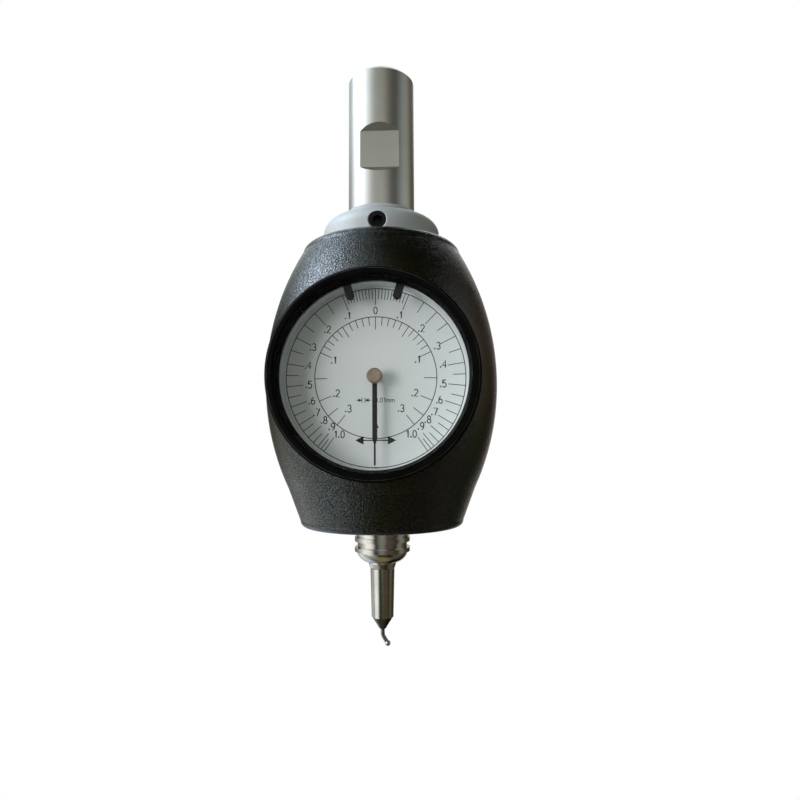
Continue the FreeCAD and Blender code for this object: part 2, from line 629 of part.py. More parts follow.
def clampScrews():
    tip = spigotDiameter / 2 - s.grooveDepth + s.seatPlay
    inner = spigotDiameter / 2 + s.seatPlay * 4
    outer = s.collarDiameter / 2 - s.clampScrewSink
    screws = []
    for index, angle in enumerate(around(s.clampScrewCount.number, -90)):
        x, y = onCircle(inner, angle)
        thread = doc.addObject("Part::Cylinder", f"ClampScrew{index}")
        bind(thread, "Radius", s.clampScrewDiameter / 2 - s.seatPlay)
        bind(thread, "Height", outer - inner)
        place(thread, x, y, -s.clampScrewDrop, radial(angle))
        point = doc.addObject("Part::Cylinder", f"ClampPoint{index}")
        bind(point, "Radius", s.clampPointDiameter / 2)
        bind(point, "Height", inner - tip)
        x, y = onCircle(tip, angle)
        place(point, x, y, -s.clampScrewDrop, radial(angle))
        screw = fused(f"ClampScrewSolid{index}", [thread, point])
        socket = doc.addObject("Part::Prism", f"ClampSocket{index}")
        socket.Polygon = 6
        bind(socket, "Circumradius", s.hexSocket / math.sqrt(3))
        bind(socket, "Height", s.hexSocketDepth + s.toolReach)
        x, y = onCircle(outer - s.hexSocketDepth, angle)
        place(socket, x, y, -s.clampScrewDrop, radial(angle))
        screws.append(cut(f"ClampScrewCut{index}", screw, [socket]))
    keep(group("ClampScrews", screws), "clamp_screws")


def shaft():
    seat = s.shaftDiameter / 2
    stub = s.shaftStubDiameter / 2
    flange = bearingInnerRim / 2
    chamber = s.springChamberDiameter / 2
    bore = s.rodDiameter / 2 + s.rodClearance
    top = s.spigotLength + s.shaftTopGap
    clipFloor = lowerBearingFoot + s.clipThickness + s.seatPlay
    groove = clipGroove / 2
    socket = stub + s.seatPlay
    stop = shaftEnd - s.noseStubLength
    body = turned("Shaft", [
        (chamber, -top), (stub, -top), (stub, -s.collarHeight), (flange, -s.collarHeight),
        (flange, -upperBearingTop), (seat, -upperBearingTop),
        (seat, -lowerBearingFoot), (groove, -lowerBearingFoot), (groove, -clipFloor),
        (seat, -clipFloor), (seat, -shaftEnd), (socket, -shaftEnd), (socket, -stop),
        (bore, -stop), (bore, -springChamberEnd), (chamber, -springChamberEnd)])
    # slot right through for the cross pin
    width = s.crossPinDiameter + s.slotPlay * 2
    travel = s.crossPinDiameter + s.slotRise * 2
    slot = doc.addObject("Part::Box", "PinSlot")
    bind(slot, "Length", s.shaftDiameter + s.toolReach * 2)
    bind(slot, "Width", width)
    bind(slot, "Height", travel)
    place(slot, s.shaftDiameter / -2 - s.toolReach, width / -2, -slideDepth - travel / 2)
    keep(cut("ShaftSlotted", body, [slot]), "spindle_shaft")
    plugTop = springPlugFoot - s.springPlugLength
    plug = cylinder("SpringPlug", s.springChamberDiameter - s.seatPlay * 2,
                    -springPlugFoot, s.springPlugLength)
    driver = doc.addObject("Part::Box", "PlugDriverSlot")
    bind(driver, "Length", s.springChamberDiameter + s.toolReach * 2)
    bind(driver, "Width", s.driverSlot)
    bind(driver, "Height", s.driverSlotDepth + s.toolReach)
    place(driver, s.springChamberDiameter / -2 - s.toolReach, s.driverSlot / -2, -plugTop - s.driverSlotDepth)
    keep(cut("SpringPlugSlotted", plug, [driver]), "spring_plug")


def bearing(label, top):
    # deep-groove bearing: two grooved rings and a ring of balls
    inner = s.shaftDiameter / 2 + s.seatPlay
    innerRim = bearingInnerRim / 2
    outerRim = bearingOuterRim / 2
    outer = bearingOutside / 2 - s.seatPlay
    pitch = (innerRim + outerRim) / 2
    track = s.bearingBall / 2 + s.ballPlay
    middle = -top - s.bearingWidth / 2
    bite = root(track * track - (pitch - innerRim) * (pitch - innerRim))
    low, high = -top - s.bearingWidth, -top
    prefix = label.title()
    keep(turned(prefix + "Inner", [
        (inner, low), (innerRim, low), (innerRim, middle - bite, track, -1),
        (innerRim, middle + bite), (innerRim, high), (inner, high)]), label + "_bearing_inner_ring")
    keep(turned(prefix + "Outer", [
        (outer, low), (outer, high), (outerRim, high), (outerRim, middle + bite, track, -1),
        (outerRim, middle - bite), (outerRim, low)]), label + "_bearing_outer_ring")
    balls = []
    for index, angle in enumerate(around(s.bearingBallCount.number)):
        x, y = onCircle(pitch, angle)
        balls.append(ball(f"{prefix}Ball{index}", s.bearingBall, x, y, middle))
    keep(group(prefix + "Balls", balls), label + "_bearing_balls")


def bearings():
    bearing("upper", upperBearingTop)
    bearing("lower", lowerBearingTop)
    clipTop = lowerBearingFoot + s.seatPlay / 2
    inner = clipGroove / 2 + s.seatPlay
    clip = turned("Clip", [
        (inner, -clipTop - s.clipThickness), (clipOutside / 2, -clipTop - s.clipThickness),
        (clipOutside / 2, -clipTop), (inner, -clipTop)])
    gap = doc.addObject("Part::Box", "ClipGap")
    bind(gap, "Length", clipOutside)
    bind(gap, "Width", s.clipOpening)
    bind(gap, "Height", s.clipThickness * 3)
    place(gap, 0, s.clipOpening / -2, -clipTop - s.clipThickness * 2)
    keep(cut("ClipOpen", clip, [gap]), "retaining_ring")


def casing():
    widest = s.casingDiameter / 2
    top = s.casingTopDiameter / 2
    bottom = s.casingBottomDiameter / 2
    waist = s.casingWaistDiameter / 2
    upperRise = casingMiddle - s.casingTop - s.casingTopRound
    lowerDrop = casingBottom - casingMiddle - s.casingSkirt
    barrel = turned("Barrel", [
        (0, -s.casingTop),
        (top - s.casingTopRoundWidth, -s.casingTop, (s.casingTopRound + s.casingTopRoundWidth) * 0.74, -1),
        (top, -s.casingTop - s.casingTopRound, bulge(widest - top, upperRise), -1),
        (widest, -casingMiddle, bulge(widest - waist, lowerDrop), -1),
        (waist, -casingMiddle - lowerDrop),
        (bottom, -casingBottom + s.casingBottomRound, s.casingBottomRound, -1),
        (bottom - s.casingBottomRound, -casingBottom), (0, -casingBottom)])
    z = -dialDepth
    edge = bossDiameter / 2
    boss = place(turned("Boss", [
        (0, 0), (edge, 0), (edge, s.bossFront - s.bossRound), (edge - s.bossRound, s.bossFront),
        (0, s.bossFront)]), 0, 0, z, facing)
    neck = disc("BossNeck", s.bossNeckDiameter, 0, bossNeckFront, 0, z)
    clearing = disc("BezelClearing", bossDiameter, s.bossFront, s.casingDiameter, 0, z)
    solid = fused("BarrelAndBoss", [barrel, boss])
    cleared = cut("BarrelCleared", solid, [clearing])
    outside = fused("CasingOutside", [cleared, neck])
    recess = cylinder("CollarRecess", s.collarDiameter + s.collarGap * 2,
                      -s.collarHeight - s.collarGap, s.collarHeight)
    flangeHole = cylinder("FlangeHole", bearingInnerRim + s.collarGap * 2, -upperBearingTop, s.collarHeight)
    seatFoot = upperBearingTop + s.bearingWidth
    seat = cylinder("UpperSeat", bearingOutside, -seatFoot, s.bearingWidth)
    coverTop = casingBottom - s.coverThickness
    well = cylinder("Well", casingWell, -coverTop, coverTop - seatFoot)
    coverSeat = cylinder("CoverSeat", coverDiameter + s.seatPlay * 2, -casingBottom - s.toolReach,
                         s.coverThickness + s.toolReach)
    frontChamber = disc("FrontChamber", frontChamberDiameter, dialBack, widest, 0, z)
    chamber = disc("Chamber", chamberDiameter, chamberFloor, widest, 0, z)
    stay = doc.addObject("Part::Cylinder", "StayHole")
    bind(stay, "Radius", s.stayHoleDiameter / 2)
    bind(stay, "Height", s.stayHoleDepth + s.toolReach)
    place(stay, 0, widest - s.stayHoleDepth, z, FreeCAD.Rotation(Vector(1, 0, 0), -90))
    tools = [recess, flangeHole, seat, well, coverSeat, frontChamber, chamber, stay]
    for index, (x, y) in enumerate(coverScrewSpots()):
        tools.append(cylinder(f"CoverScrewHole{index}", s.coverScrewDiameter, -casingBottom,
                              s.coverScrewLength + s.toolReach, x, y))
    for index, (x, drop) in enumerate(holdSpots()):
        tools.append(disc(f"PlateHoldHole{index}", s.plateScrewDiameter, chamberFloor - s.plateScrewLength,
                          s.plateScrewLength + s.toolReach, x, z + drop))
    keep(cut("CasingBored", outside, tools), "casing")


def bulge(run, rise):
    # radius of the arc that starts along the axis and goes out by run over that rise
    return (rise * rise + run * run) / (run * 2)


def coverScrewSpots():
    radius = coverDiameter / 2 - s.coverScrewInset
    return [onCircle(radius, angle) for angle in around(s.coverScrewCount.number, 90)]


def bottomCover():
    plate = coverDiameter / 2
    boss = casingWell / 2 - s.seatPlay
    seat = bearingOutside / 2
    mouth = coverMouth / 2
    plateTop = casingBottom - s.coverThickness
    rim = lowerBearingTop - s.coverLip
    body = turned("Cover", [
        (mouth, -casingBottom), (plate, -casingBottom), (plate, -plateTop), (boss, -plateTop),
        (boss, -rim), (seat, -rim), (seat, -lowerBearingFoot), (mouth, -lowerBearingFoot)])
    holes = []
    for index, (x, y) in enumerate(coverScrewSpots()):
        holes.append(cylinder(f"CoverHole{index}", s.coverScrewDiameter + s.seatPlay * 4, -casingBottom,
                              s.coverThickness, x, y))
        holes.append(countersink(f"CoverSink{index}", s.seatPlay, x, y))
    keep(cut("CoverDrilled", body, holes), "bottom_cover")


def countersink(name, play, x, y):
    sink = doc.addObject("Part::Cone", name)
    bind(sink, "Radius1", s.coverScrewHead / 2 + play)
    bind(sink, "Radius2", s.coverScrewDiameter / 2 + play)
    bind(sink, "Height", (s.coverScrewHead - s.coverScrewDiameter) / 2)
    return place(sink, x, y, -casingBottom)


def coverScrews():
    screws = []
    for index, (x, y) in enumerate(coverScrewSpots()):
        thread = cylinder(f"CoverThread{index}", s.coverScrewDiameter - s.seatPlay * 2,
                          -casingBottom, s.coverScrewLength, x, y)
        head = countersink(f"CoverHead{index}", asSize(0), x, y)
        screw = fused(f"CoverScrew{index}", [thread, head])
        socket = doc.addObject("Part::Prism", f"CoverSocket{index}")
        socket.Polygon = 6
        bind(socket, "Circumradius", s.coverSocket / math.sqrt(3))
        bind(socket, "Height", s.coverSocketDepth + s.toolReach)
        place(socket, x, y, -casingBottom - s.toolReach)
        screws.append(cut(f"CoverScrewCut{index}", screw, [socket]))
    keep(group("CoverScrews", screws), "cover_screws")


def dialSide():
    z = -dialDepth
    plate = disc("DialPlate", dialDiameter, dialBack, s.dialThickness, 0, z)
    hole = disc("DialHole", s.handBoss + s.dialHolePlay * 2, dialBack - s.toolReach,
                s.dialThickness + s.toolReach * 2, 0, z)
    keep(cut("Dial", plate, [hole]), "dial_face")
    outer = frontChamberDiameter / 2 - s.seatPlay * 2
    keep(place(turned("Rim", [
        (outer - s.rimThickness, dialFront), (outer, dialFront),
        (outer, rimFront), (outer - s.rimThickness, rimFront)]), 0, 0, z, facing), "dial_rim")
    edge = bezelDiameter / 2
    land = edge - s.bezelLandWidth
    glass = crystalDiameter / 2
    foot = s.bossFront + s.bezelFootGap
    rear = bossNeckFront + s.bezelEndGap
    seat = crystalFront + s.seatPlay
    skirt = s.bossNeckDiameter / 2 + s.bezelClearance
    keep(place(turned("Bezel", [
        (edge, foot), (edge, bezelFront - s.bezelBevel), (edge - s.bezelBevel, bezelFront),
        (land, bezelFront), (land, bezelFront - s.bezelStep), (land - s.bezelStep, bezelFront - s.bezelStep),
        (glass - s.crystalSeat, seat), (glass + s.seatPlay, seat), (glass + s.seatPlay, rear),
        (skirt, rear), (skirt, foot)]), 0, 0, z, facing), "bezel")
    keep(disc("Crystal", crystalDiameter, crystalBack, s.crystalThickness, 0, z), "crystal")
    ringBack = crystalBack - s.crystalRingThickness
    keep(place(turned("CrystalRing", [
        (glass - s.crystalRingWidth, ringBack), (glass, ringBack),
        (glass, crystalBack), (glass - s.crystalRingWidth, crystalBack)]), 0, 0, z, facing),
        "crystal_ring")
    base = glass - s.crystalRingWidth - s.seatPlay * 2
    half = s.markerWidth / 2
    back = crystalBack - s.seatPlay - s.markerThickness
    for label, side in (("left", 1), ("right", -1)):
        marker = padded(f"Marker{label.title()}", [
            (-half, base - s.markerLength + s.markerPoint), (-half + s.markerPoint, base - s.markerLength),
            (half - s.markerPoint, base - s.markerLength), (half, base - s.markerLength + s.markerPoint),
            (half, base), (-half, base)], back, s.markerThickness)
        tilt = FreeCAD.Rotation(Vector(0, 0, 1), s.markerAngle.number * side)
        keep(place(marker, 0, 0, z, facing.multiply(tilt)), f"tolerance_marker_{label}")


def pointAt(radius, angle):
    return Vector(radius * math.cos(angle), radius * math.sin(angle), 0)


def toothed(teeth, middles, phase):
    # edges of involute teeth at the given middles, with the places where the row of them starts and ends
    m = gearModule.number
    pitch = m * teeth / 2
    pressure = math.radians(s.pressureAngle.number)
    baseCircle = pitch * math.cos(pressure)
    tip = pitch + s.addendum.number * m
    floor = pitch - s.dedendum.number * m
    half = (math.pi * m / 2 - s.toothThinning.number) / 2 / pitch + math.tan(pressure) - pressure

    def flank(radius):
        # half the tooth's angle at that radius, on an involute of the base circle
        if radius <= baseCircle:
            return half
        roll = math.acos(baseCircle / radius)
        return half - (math.tan(roll) - roll)

    start = max(baseCircle, floor)
    wide = flank(floor)
    edges = []
    previous = None
    for middle in middles:
        turn = math.radians(phase + middle)
        foot = pointAt(floor, turn - wide)
        if previous:
            between = (previous[1] + turn - wide) / 2
            edges.append(Part.Arc(previous[0], pointAt(floor, between), foot).toShape())
        if floor < start:
            edges.append(Part.LineSegment(foot, pointAt(start, turn - half)).toShape())
        radii = [start, (start + tip) / 2, tip]
        up = [pointAt(r, turn - flank(r)) for r in radii]
        down = [pointAt(r, turn + flank(r)) for r in reversed(radii)]
        edges.append(Part.Arc(*up).toShape())
        edges.append(Part.Arc(up[2], pointAt(tip, turn), down[0]).toShape())
        edges.append(Part.Arc(*down).toShape())
        end = pointAt(floor, turn + wide)
        if floor < start:
            edges.append(Part.LineSegment(pointAt(start, turn + wide), end).toShape())
        previous = (end, turn + wide)
    first = pointAt(floor, math.radians(phase + middles[0]) - wide)
    return edges, first, previous, floor


def solidGear(label, teeth, phase, x, back, thickness, z, bore):
    middles = [360.0 * i / teeth for i in range(teeth)]
    edges, first, last, floor = toothed(teeth, middles, phase)
    closing = math.radians(phase + (middles[-1] + 360) / 2)
    edges.append(Part.Arc(last[0], pointAt(floor, closing), first).toShape())
    blank = Part.Face(Part.Wire(edges)).extrude(Vector(0, 0, thickness))
    obj = doc.addObject("Part::Feature", label.title().replace("_", ""))
    obj.Shape = blank.cut(Part.makeCylinder(bore, thickness))
    obj.Placement = FreeCAD.Placement(Vector(x, -back, z), facing)
    return obj


# places of the three arbors, seen from the front: the hand's at the dial's centre, the sector's one arm
# beside the spindle's axis, and the intermediate one where both pairs of gears mesh
pinionPitch = gearModule * s.pinionTeeth / 2
wheelReach = gearModule * s.wheelTeeth / 2 + pinionPitch
sectorReach = gearModule * s.sectorTeeth / 2 + pinionPitch
sectorX = -s.sectorArm
sectorZ = -slideDepth
toHandX = -sectorX
toHandZ = slideDepth - dialDepth
span = root(toHandX * toHandX + toHandZ * toHandZ)
along = (sectorReach * sectorReach - wheelReach * wheelReach + span * span) / (span * 2)
aside = root(sectorReach * sectorReach - along * along)
middleX = sectorX + (along * toHandX + aside * toHandZ) / span
middleZ = sectorZ + (along * toHandZ - aside * toHandX) / span
sectorAim = math.degrees(math.atan2(middleZ.number - sectorZ.number, middleX.number - sectorX.number))
wheelAim = math.degrees(math.atan2(-dialDepth.number - middleZ.number, -middleX.number))


def holdSpots():
    # the movement's two fixing screws, from the dial's centre
    return [onCircle(pillarRadius, angle) for angle in (-s.holdAngle.number, 180 + s.holdAngle.number)]


def movement():
    z = -dialDepth
    pivots = [(sectorX, sectorZ), (middleX, middleZ), (asSize(0), z)]
    posts = [onCircle(pillarRadius, angle) for angle in around(s.pillarCount.number, 60)]
    hole = s.arborDiameter + s.arborClearance * 2
    thread = s.plateScrewDiameter
    through = s.plateThickness + s.toolReach * 2
    for label, back in (("back", chamberFloor), ("front", frontPlateBack)):
        prefix = label.title() + "Plate"
        plate = disc(prefix, plateDiameter, back, s.plateThickness, 0, z)
        start = back - s.toolReach
        tools = [disc(f"{prefix}Pivot{i}", hole, start, through, x, at) for i, (x, at) in enumerate(pivots)]
        if label == "back":
            tools.append(disc(prefix + "Crank", s.crankHole, start, through, 0, -slideDepth))
        spots = holdSpots() if label == "back" else posts
        tools += [disc(f"{prefix}Screw{i}", thread + s.seatPlay * 2, start, through, x, z + rise)
                  for i, (x, rise) in enumerate(spots)]
        keep(cut(prefix + "Drilled", plate, tools), f"movement_{label}_plate")
    pillars = []
    screws = []
    for index, (x, rise) in enumerate(posts):
        post = disc(f"Pillar{index}", s.pillarDiameter, backPlateFront, s.plateSpacing, x, z + rise)
        tapped = disc(f"PillarThread{index}", thread, frontPlateBack - s.plateScrewLength,
                      s.plateScrewLength + s.toolReach, x, z + rise)
        pillars.append(cut(f"PillarTapped{index}", post, [tapped]))
        screws.append(cheeseScrew(f"PlateScrew{index}", frontPlateFront, x, z + rise))
    keep(group("Pillars", pillars), "movement_pillars")
    keep(group("PlateScrews", screws), "plate_screws")
    holds = [cheeseScrew(f"HoldScrew{i}", backPlateFront, x, z + rise)
             for i, (x, rise) in enumerate(holdSpots())]
    keep(group("HoldScrews", holds), "movement_screws")


def cheeseScrew(name, seat, x, z):
    # slotted screw with a flat head that lies on the depth given by seat
    length = s.plateScrewLength - s.plateScrewEnd
    thread = disc(name + "Thread", s.plateScrewDiameter - s.seatPlay * 2, seat - length, length, x, z)
    head = disc(name + "Head", s.plateScrewHead, seat, s.plateScrewHeadHeight, x, z)
    slot = doc.addObject("Part::Box", name + "Slot")
    bind(slot, "Length", s.plateScrewHead + s.toolReach * 2)
    bind(slot, "Width", s.plateScrewSlot)
    bind(slot, "Height", s.plateScrewHeadHeight)
    place(slot, x - s.plateScrewHead / 2 - s.toolReach, -(seat + s.plateScrewHeadHeight / 2),
          z - s.plateScrewSlot / 2, facing)
    return cut(name + "Slotted", fused(name, [thread, head]), [slot])


def arbor(label, x, z, front):
    back = chamberFloor + s.arborEnd
    return keep(disc(label.title().replace("_", ""), s.arborDiameter, back, front - back, x, z), label)


def train():
    arbor("sector_arbor", sectorX, sectorZ, frontPlateFront - s.arborEnd)
    arbor("intermediate_arbor", middleX, middleZ, frontPlateFront - s.arborEnd)
    arbor("hand_arbor", 0, -dialDepth, handBack)
    thick = s.gearThickness.number
    over = s.pinionOverhang.number
    bore = (s.arborDiameter / 2 + s.seatPlay).number
    pinionTeeth = int(s.pinionTeeth.number)
    wheelTeeth = int(s.wheelTeeth.number)
    sectorBack = sectorPlateDepth.number
    wheelBack = wheelDepth.number
    half = 180.0 / pinionTeeth
    keep(solidGear("intermediate_pinion", pinionTeeth, sectorAim + 180 + half, middleX.number,
                   sectorBack - over, thick + over * 2, middleZ.number, bore), "intermediate_pinion")
    keep(solidGear("intermediate_wheel", wheelTeeth, wheelAim, middleX.number, wheelBack, thick,
                   middleZ.number, bore), "intermediate_wheel")
    keep(solidGear("hand_pinion", pinionTeeth, wheelAim + 180 + half, 0.0, wheelBack - over,
                   thick + over * 2, -dialDepth.number, bore), "hand_pinion")
    keep(sector(sectorBack, thick, bore), "sector_gear")
    crank()
    hairspring()


def sector(back, thick, bore):
    # fan-shaped plate with a toothed edge, a slender arm with a window and a round hub
    teeth = int(s.sectorTeeth.number)
    spread = int(s.sectorToothSpan.number)
    step = 360.0 / teeth
    middles = [step * i for i in range(-spread, spread + 1)]
    edges, first, last, floor = toothed(teeth, middles, sectorAim)
    hub = s.sectorHub.number / 2
    flare = math.radians(s.sectorFlare.number)
    left = math.radians(sectorAim + middles[-1] + step * s.sectorEnd.number)
    right = math.radians(sectorAim + middles[0] - step * s.sectorEnd.number)
    start = math.radians(sectorAim + middles[0] - step / 2)
    farLeft, farRight = pointAt(floor, left), pointAt(floor, right)
    nearLeft, nearRight = pointAt(hub, left + flare), pointAt(hub, right - flare)
    edges.append(Part.Arc(last[0], pointAt(floor, (last[1] + left) / 2), farLeft).toShape())
    edges.append(Part.LineSegment(farLeft, nearLeft).toShape())
    edges.append(Part.Arc(nearLeft, pointAt(hub, (left + right) / 2 + math.pi), nearRight).toShape())
    edges.append(Part.LineSegment(nearRight, farRight).toShape())
    edges.append(Part.Arc(farRight, pointAt(floor, start), first).toShape())
    middle = math.radians(sectorAim)
    inner, outer = s.sectorWindowStart.number, floor - s.sectorRim.number
    near = math.radians(s.sectorWindowNear.number)
    far = math.radians(s.sectorWindowFar.number)
    corners = [pointAt(inner, middle - near), pointAt(outer, middle - far),
               pointAt(outer, middle + far), pointAt(inner, middle + near)]
    window = [Part.LineSegment(corners[0], corners[1]).toShape(),
              Part.Arc(corners[1], pointAt(outer, middle), corners[2]).toShape(),
              Part.LineSegment(corners[2], corners[3]).toShape(),
              Part.Arc(corners[3], pointAt(inner, middle), corners[0]).toShape()]
    blank = Part.Face(Part.Wire(edges)).extrude(Vector(0, 0, thick))
    opening = Part.Face(Part.Wire(window)).extrude(Vector(0, 0, thick))
    obj = doc.addObject("Part::Feature", "SectorGear")
    obj.Shape = blank.cut(opening).cut(Part.makeCylinder(bore, thick))
    obj.Placement = FreeCAD.Placement(Vector(sectorX.number, -back, sectorZ.number), facing)
    return obj


def crank():
    # arm behind the sector, whose ball lies in the sliding collar's groove
    back = backPlateFront + s.crankGap
    thick = sectorPlateDepth - back - s.crankBackset
    hub = disc("CrankHub", s.crankHub, back, thick, sectorX, sectorZ)
    end = disc("CrankEnd", s.crankEnd, back, thick, 0, sectorZ)
    web = doc.addObject("Part::Box", "CrankWeb")
    bind(web, "Length", s.sectorArm)
    bind(web, "Width", s.crankWeb)
    bind(web, "Height", thick)
    place(web, sectorX, -back, sectorZ - s.crankWeb / 2, facing)
    ballDepth = slideGrooveFloor / 2 + s.crankBall / 2 + s.crankBallGap
    pin = disc("CrankPin", s.crankPin, ballDepth, back - ballDepth, 0, sectorZ)
    tip = ball("CrankTip", s.crankBall, 0, -ballDepth, sectorZ)
    solid = fused("CrankSolid", [hub, end, web, pin, tip])
    bore = disc("CrankBore", s.arborDiameter + s.seatPlay * 2, back - s.toolReach,
                thick + s.toolReach * 2, sectorX, sectorZ)
    keep(cut("Crank", solid, [bore]), "sector_crank")


def hairspring():
    # flat spiral of half circles whose centres alternate, so that each half turn grows by half a pitch
    strip = s.hairspringStrip.number
    pitch = s.hairspringPitch.number
    halves = int(s.hairspringTurns.number) * 2
    inner = s.hairspringInner.number

    def spiral(offset):
        edges = []
        x = inner + offset
        side = 1
        radius = inner + offset
        centre = 0.0
        for _ in range(halves):
            end = centre - side * radius
            top = Vector(centre, side * radius, 0)
            edges.append(Part.Arc(Vector(x, 0, 0), top, Vector(end, 0, 0)).toShape())
            x = end
            side = -side
            centre -= side * pitch / 4
            radius = abs(x - centre)
        return edges, x

    insideEdges, insideEnd = spiral(0)
    outsideEdges, outsideEnd = spiral(strip)
    edges = insideEdges + outsideEdges
    edges.append(Part.LineSegment(Vector(inner, 0, 0), Vector(inner + strip, 0, 0)).toShape())
    edges.append(Part.LineSegment(Vector(insideEnd, 0, 0), Vector(outsideEnd, 0, 0)).toShape())
    face = Part.Face(Part.Wire(Part.sortEdges(edges)[0]))
    obj = doc.addObject("Part::Feature", "Hairspring")
    obj.Shape = face.extrude(Vector(0, 0, s.hairspringWidth.number))
    obj.Placement = FreeCAD.Placement(Vector(0, -hairspringDepth.number, -dialDepth.number), facing)
    keep(obj, "hairspring")
    # stud that holds the outer end, planted in the back plate
    beside = s.studDiameter / 2 + s.seatPlay
    stud = disc("HairspringStud", s.studDiameter, backPlateFront, s.hairspringLift + s.hairspringWidth,
                outsideEnd + beside if outsideEnd > 0 else outsideEnd - beside, -dialDepth)
    keep(stud, "hairspring_stud")
    collet = disc("HairspringCollet", (s.hairspringInner - s.seatPlay * 3) * 2, hairspringDepth,
                  s.hairspringWidth, 0, -dialDepth)
    bore = disc("ColletBore", s.arborDiameter + s.seatPlay * 2, hairspringDepth - s.toolReach,
                s.hairspringWidth + s.toolReach * 2, 0, -dialDepth)
    keep(cut("ColletDrilled", collet, [bore]), "hairspring_collet")


def hand():
    z = -dialDepth
    half = s.handWidth / 2
    needle = s.needleWidth / 2
    wideEnd = handLength - s.needleLength
    blade = place(padded("HandBlade", [
        (-half, 0), (half, 0), (half, -wideEnd), (needle, -wideEnd - s.handWidth),
        (needle, -handLength + needle), (0, -handLength), (-needle, -handLength + needle),
        (-needle, -wideEnd - s.handWidth), (-half, -wideEnd)],
        handBack, s.handThickness), 0, 0, z, facing)
    bossFront = handBack + s.handThickness + s.handBossRise
    bossBack = bossFront - s.handBossLength
    boss = disc("HandBoss", s.handBoss, bossBack, s.handBossLength, 0, z)
    bore = disc("HandBore", s.arborDiameter + s.seatPlay * 2, bossBack - s.toolReach,
                s.handBossLength + s.toolReach - s.handThickness, 0, z)
    keep(cut("Hand", fused("HandSolid", [blade, boss]), [bore]), "hand")
    edge = s.capDiameter / 2
    capFront = bossFront + s.capThickness
    keep(place(turned("Cap", [
        (0, bossFront), (edge, bossFront), (edge, capFront - s.capRound, s.capRound, 1),
        (edge - s.capRound, capFront), (0, capFront)]), 0, 0, z, facing), "hand_cap")


def pushRod():
    r = s.rodDiameter / 2
    shoulder = s.springChamberDiameter / 2 - s.shoulderPlay
    tip = leverTop - s.rodTipGap
    rodTop = shoulderTop - s.rodPilotLength
    pilot = s.rodPilotDiameter / 2
    body = turned("Rod", [
        (0, -rodTop), (pilot, -rodTop), (pilot, -shoulderTop), (shoulder, -shoulderTop),
        (shoulder, -shoulderFoot), (r, -shoulderFoot), (r, -tip + r, r, -1), (0, -tip)])
    sideways = FreeCAD.Rotation(Vector(0, 1, 0), 90)
    bore = doc.addObject("Part::Cylinder", "CrossBore")
    bind(bore, "Radius", s.crossPinDiameter / 2 + s.seatPlay)
    bind(bore, "Height", s.rodDiameter * 2)
    place(bore, -s.rodDiameter, 0, -slideDepth, sideways)
    keep(cut("RodDrilled", body, [bore]), "push_rod")
    pin = doc.addObject("Part::Cylinder", "CrossPin")
    bind(pin, "Radius", s.crossPinDiameter / 2)
    bind(pin, "Height", crossPinLength)
    keep(place(pin, crossPinLength / -2, 0, -slideDepth, sideways), "cross_pin")
    inner = slideBore / 2
    outer = slideDiameter / 2
    floor = slideGrooveFloor / 2
    groove = s.crankBall / 2 + s.crankBallPlay
    middle = -slideDepth
    half = s.slideHeight / 2
    ring = turned("Slide", [
        (inner, middle - half), (outer, middle - half), (outer, middle - groove), (floor, middle - groove),
        (floor, middle + groove), (outer, middle + groove), (outer, middle + half), (inner, middle + half)])
    hole = doc.addObject("Part::Cylinder", "SlideBore")
    bind(hole, "Radius", s.crossPinDiameter / 2 + s.seatPlay)
    bind(hole, "Height", slideDiameter + s.toolReach * 2)
    place(hole, slideDiameter / -2 - s.toolReach, 0, -slideDepth, sideways)
    keep(cut("SlideDrilled", ring, [hole]), "sliding_collar")


def centringSprings():
    # helical springs on the rod, one each side of its shoulder
    wire = s.springWire.number / 2
    play = s.seatPlay.number
    coil = (s.springChamberDiameter / 2 - s.springPlay).number - wire
    spans = (("upper", springPlugFoot, shoulderTop), ("lower", shoulderFoot, springChamberEnd))
    for label, top, bottom in spans:
        length = bottom.number - top.number - wire * 2 - play * 2
        helix = Part.makeHelix(length / s.springTurns.number, length, coil)
        section = Part.Wire(Part.Circle(Vector(coil, 0, 0), Vector(0, 1, 0), wire).toShape())
        obj = doc.addObject("Part::Feature", f"{label.title()}Spring")
        obj.Shape = Part.Wire(helix).makePipeShell([section], True, True)
        obj.Placement = FreeCAD.Placement(Vector(0, 0, -bottom.number + wire + play), FreeCAD.Rotation())
        keep(obj, f"{label}_centring_spring")


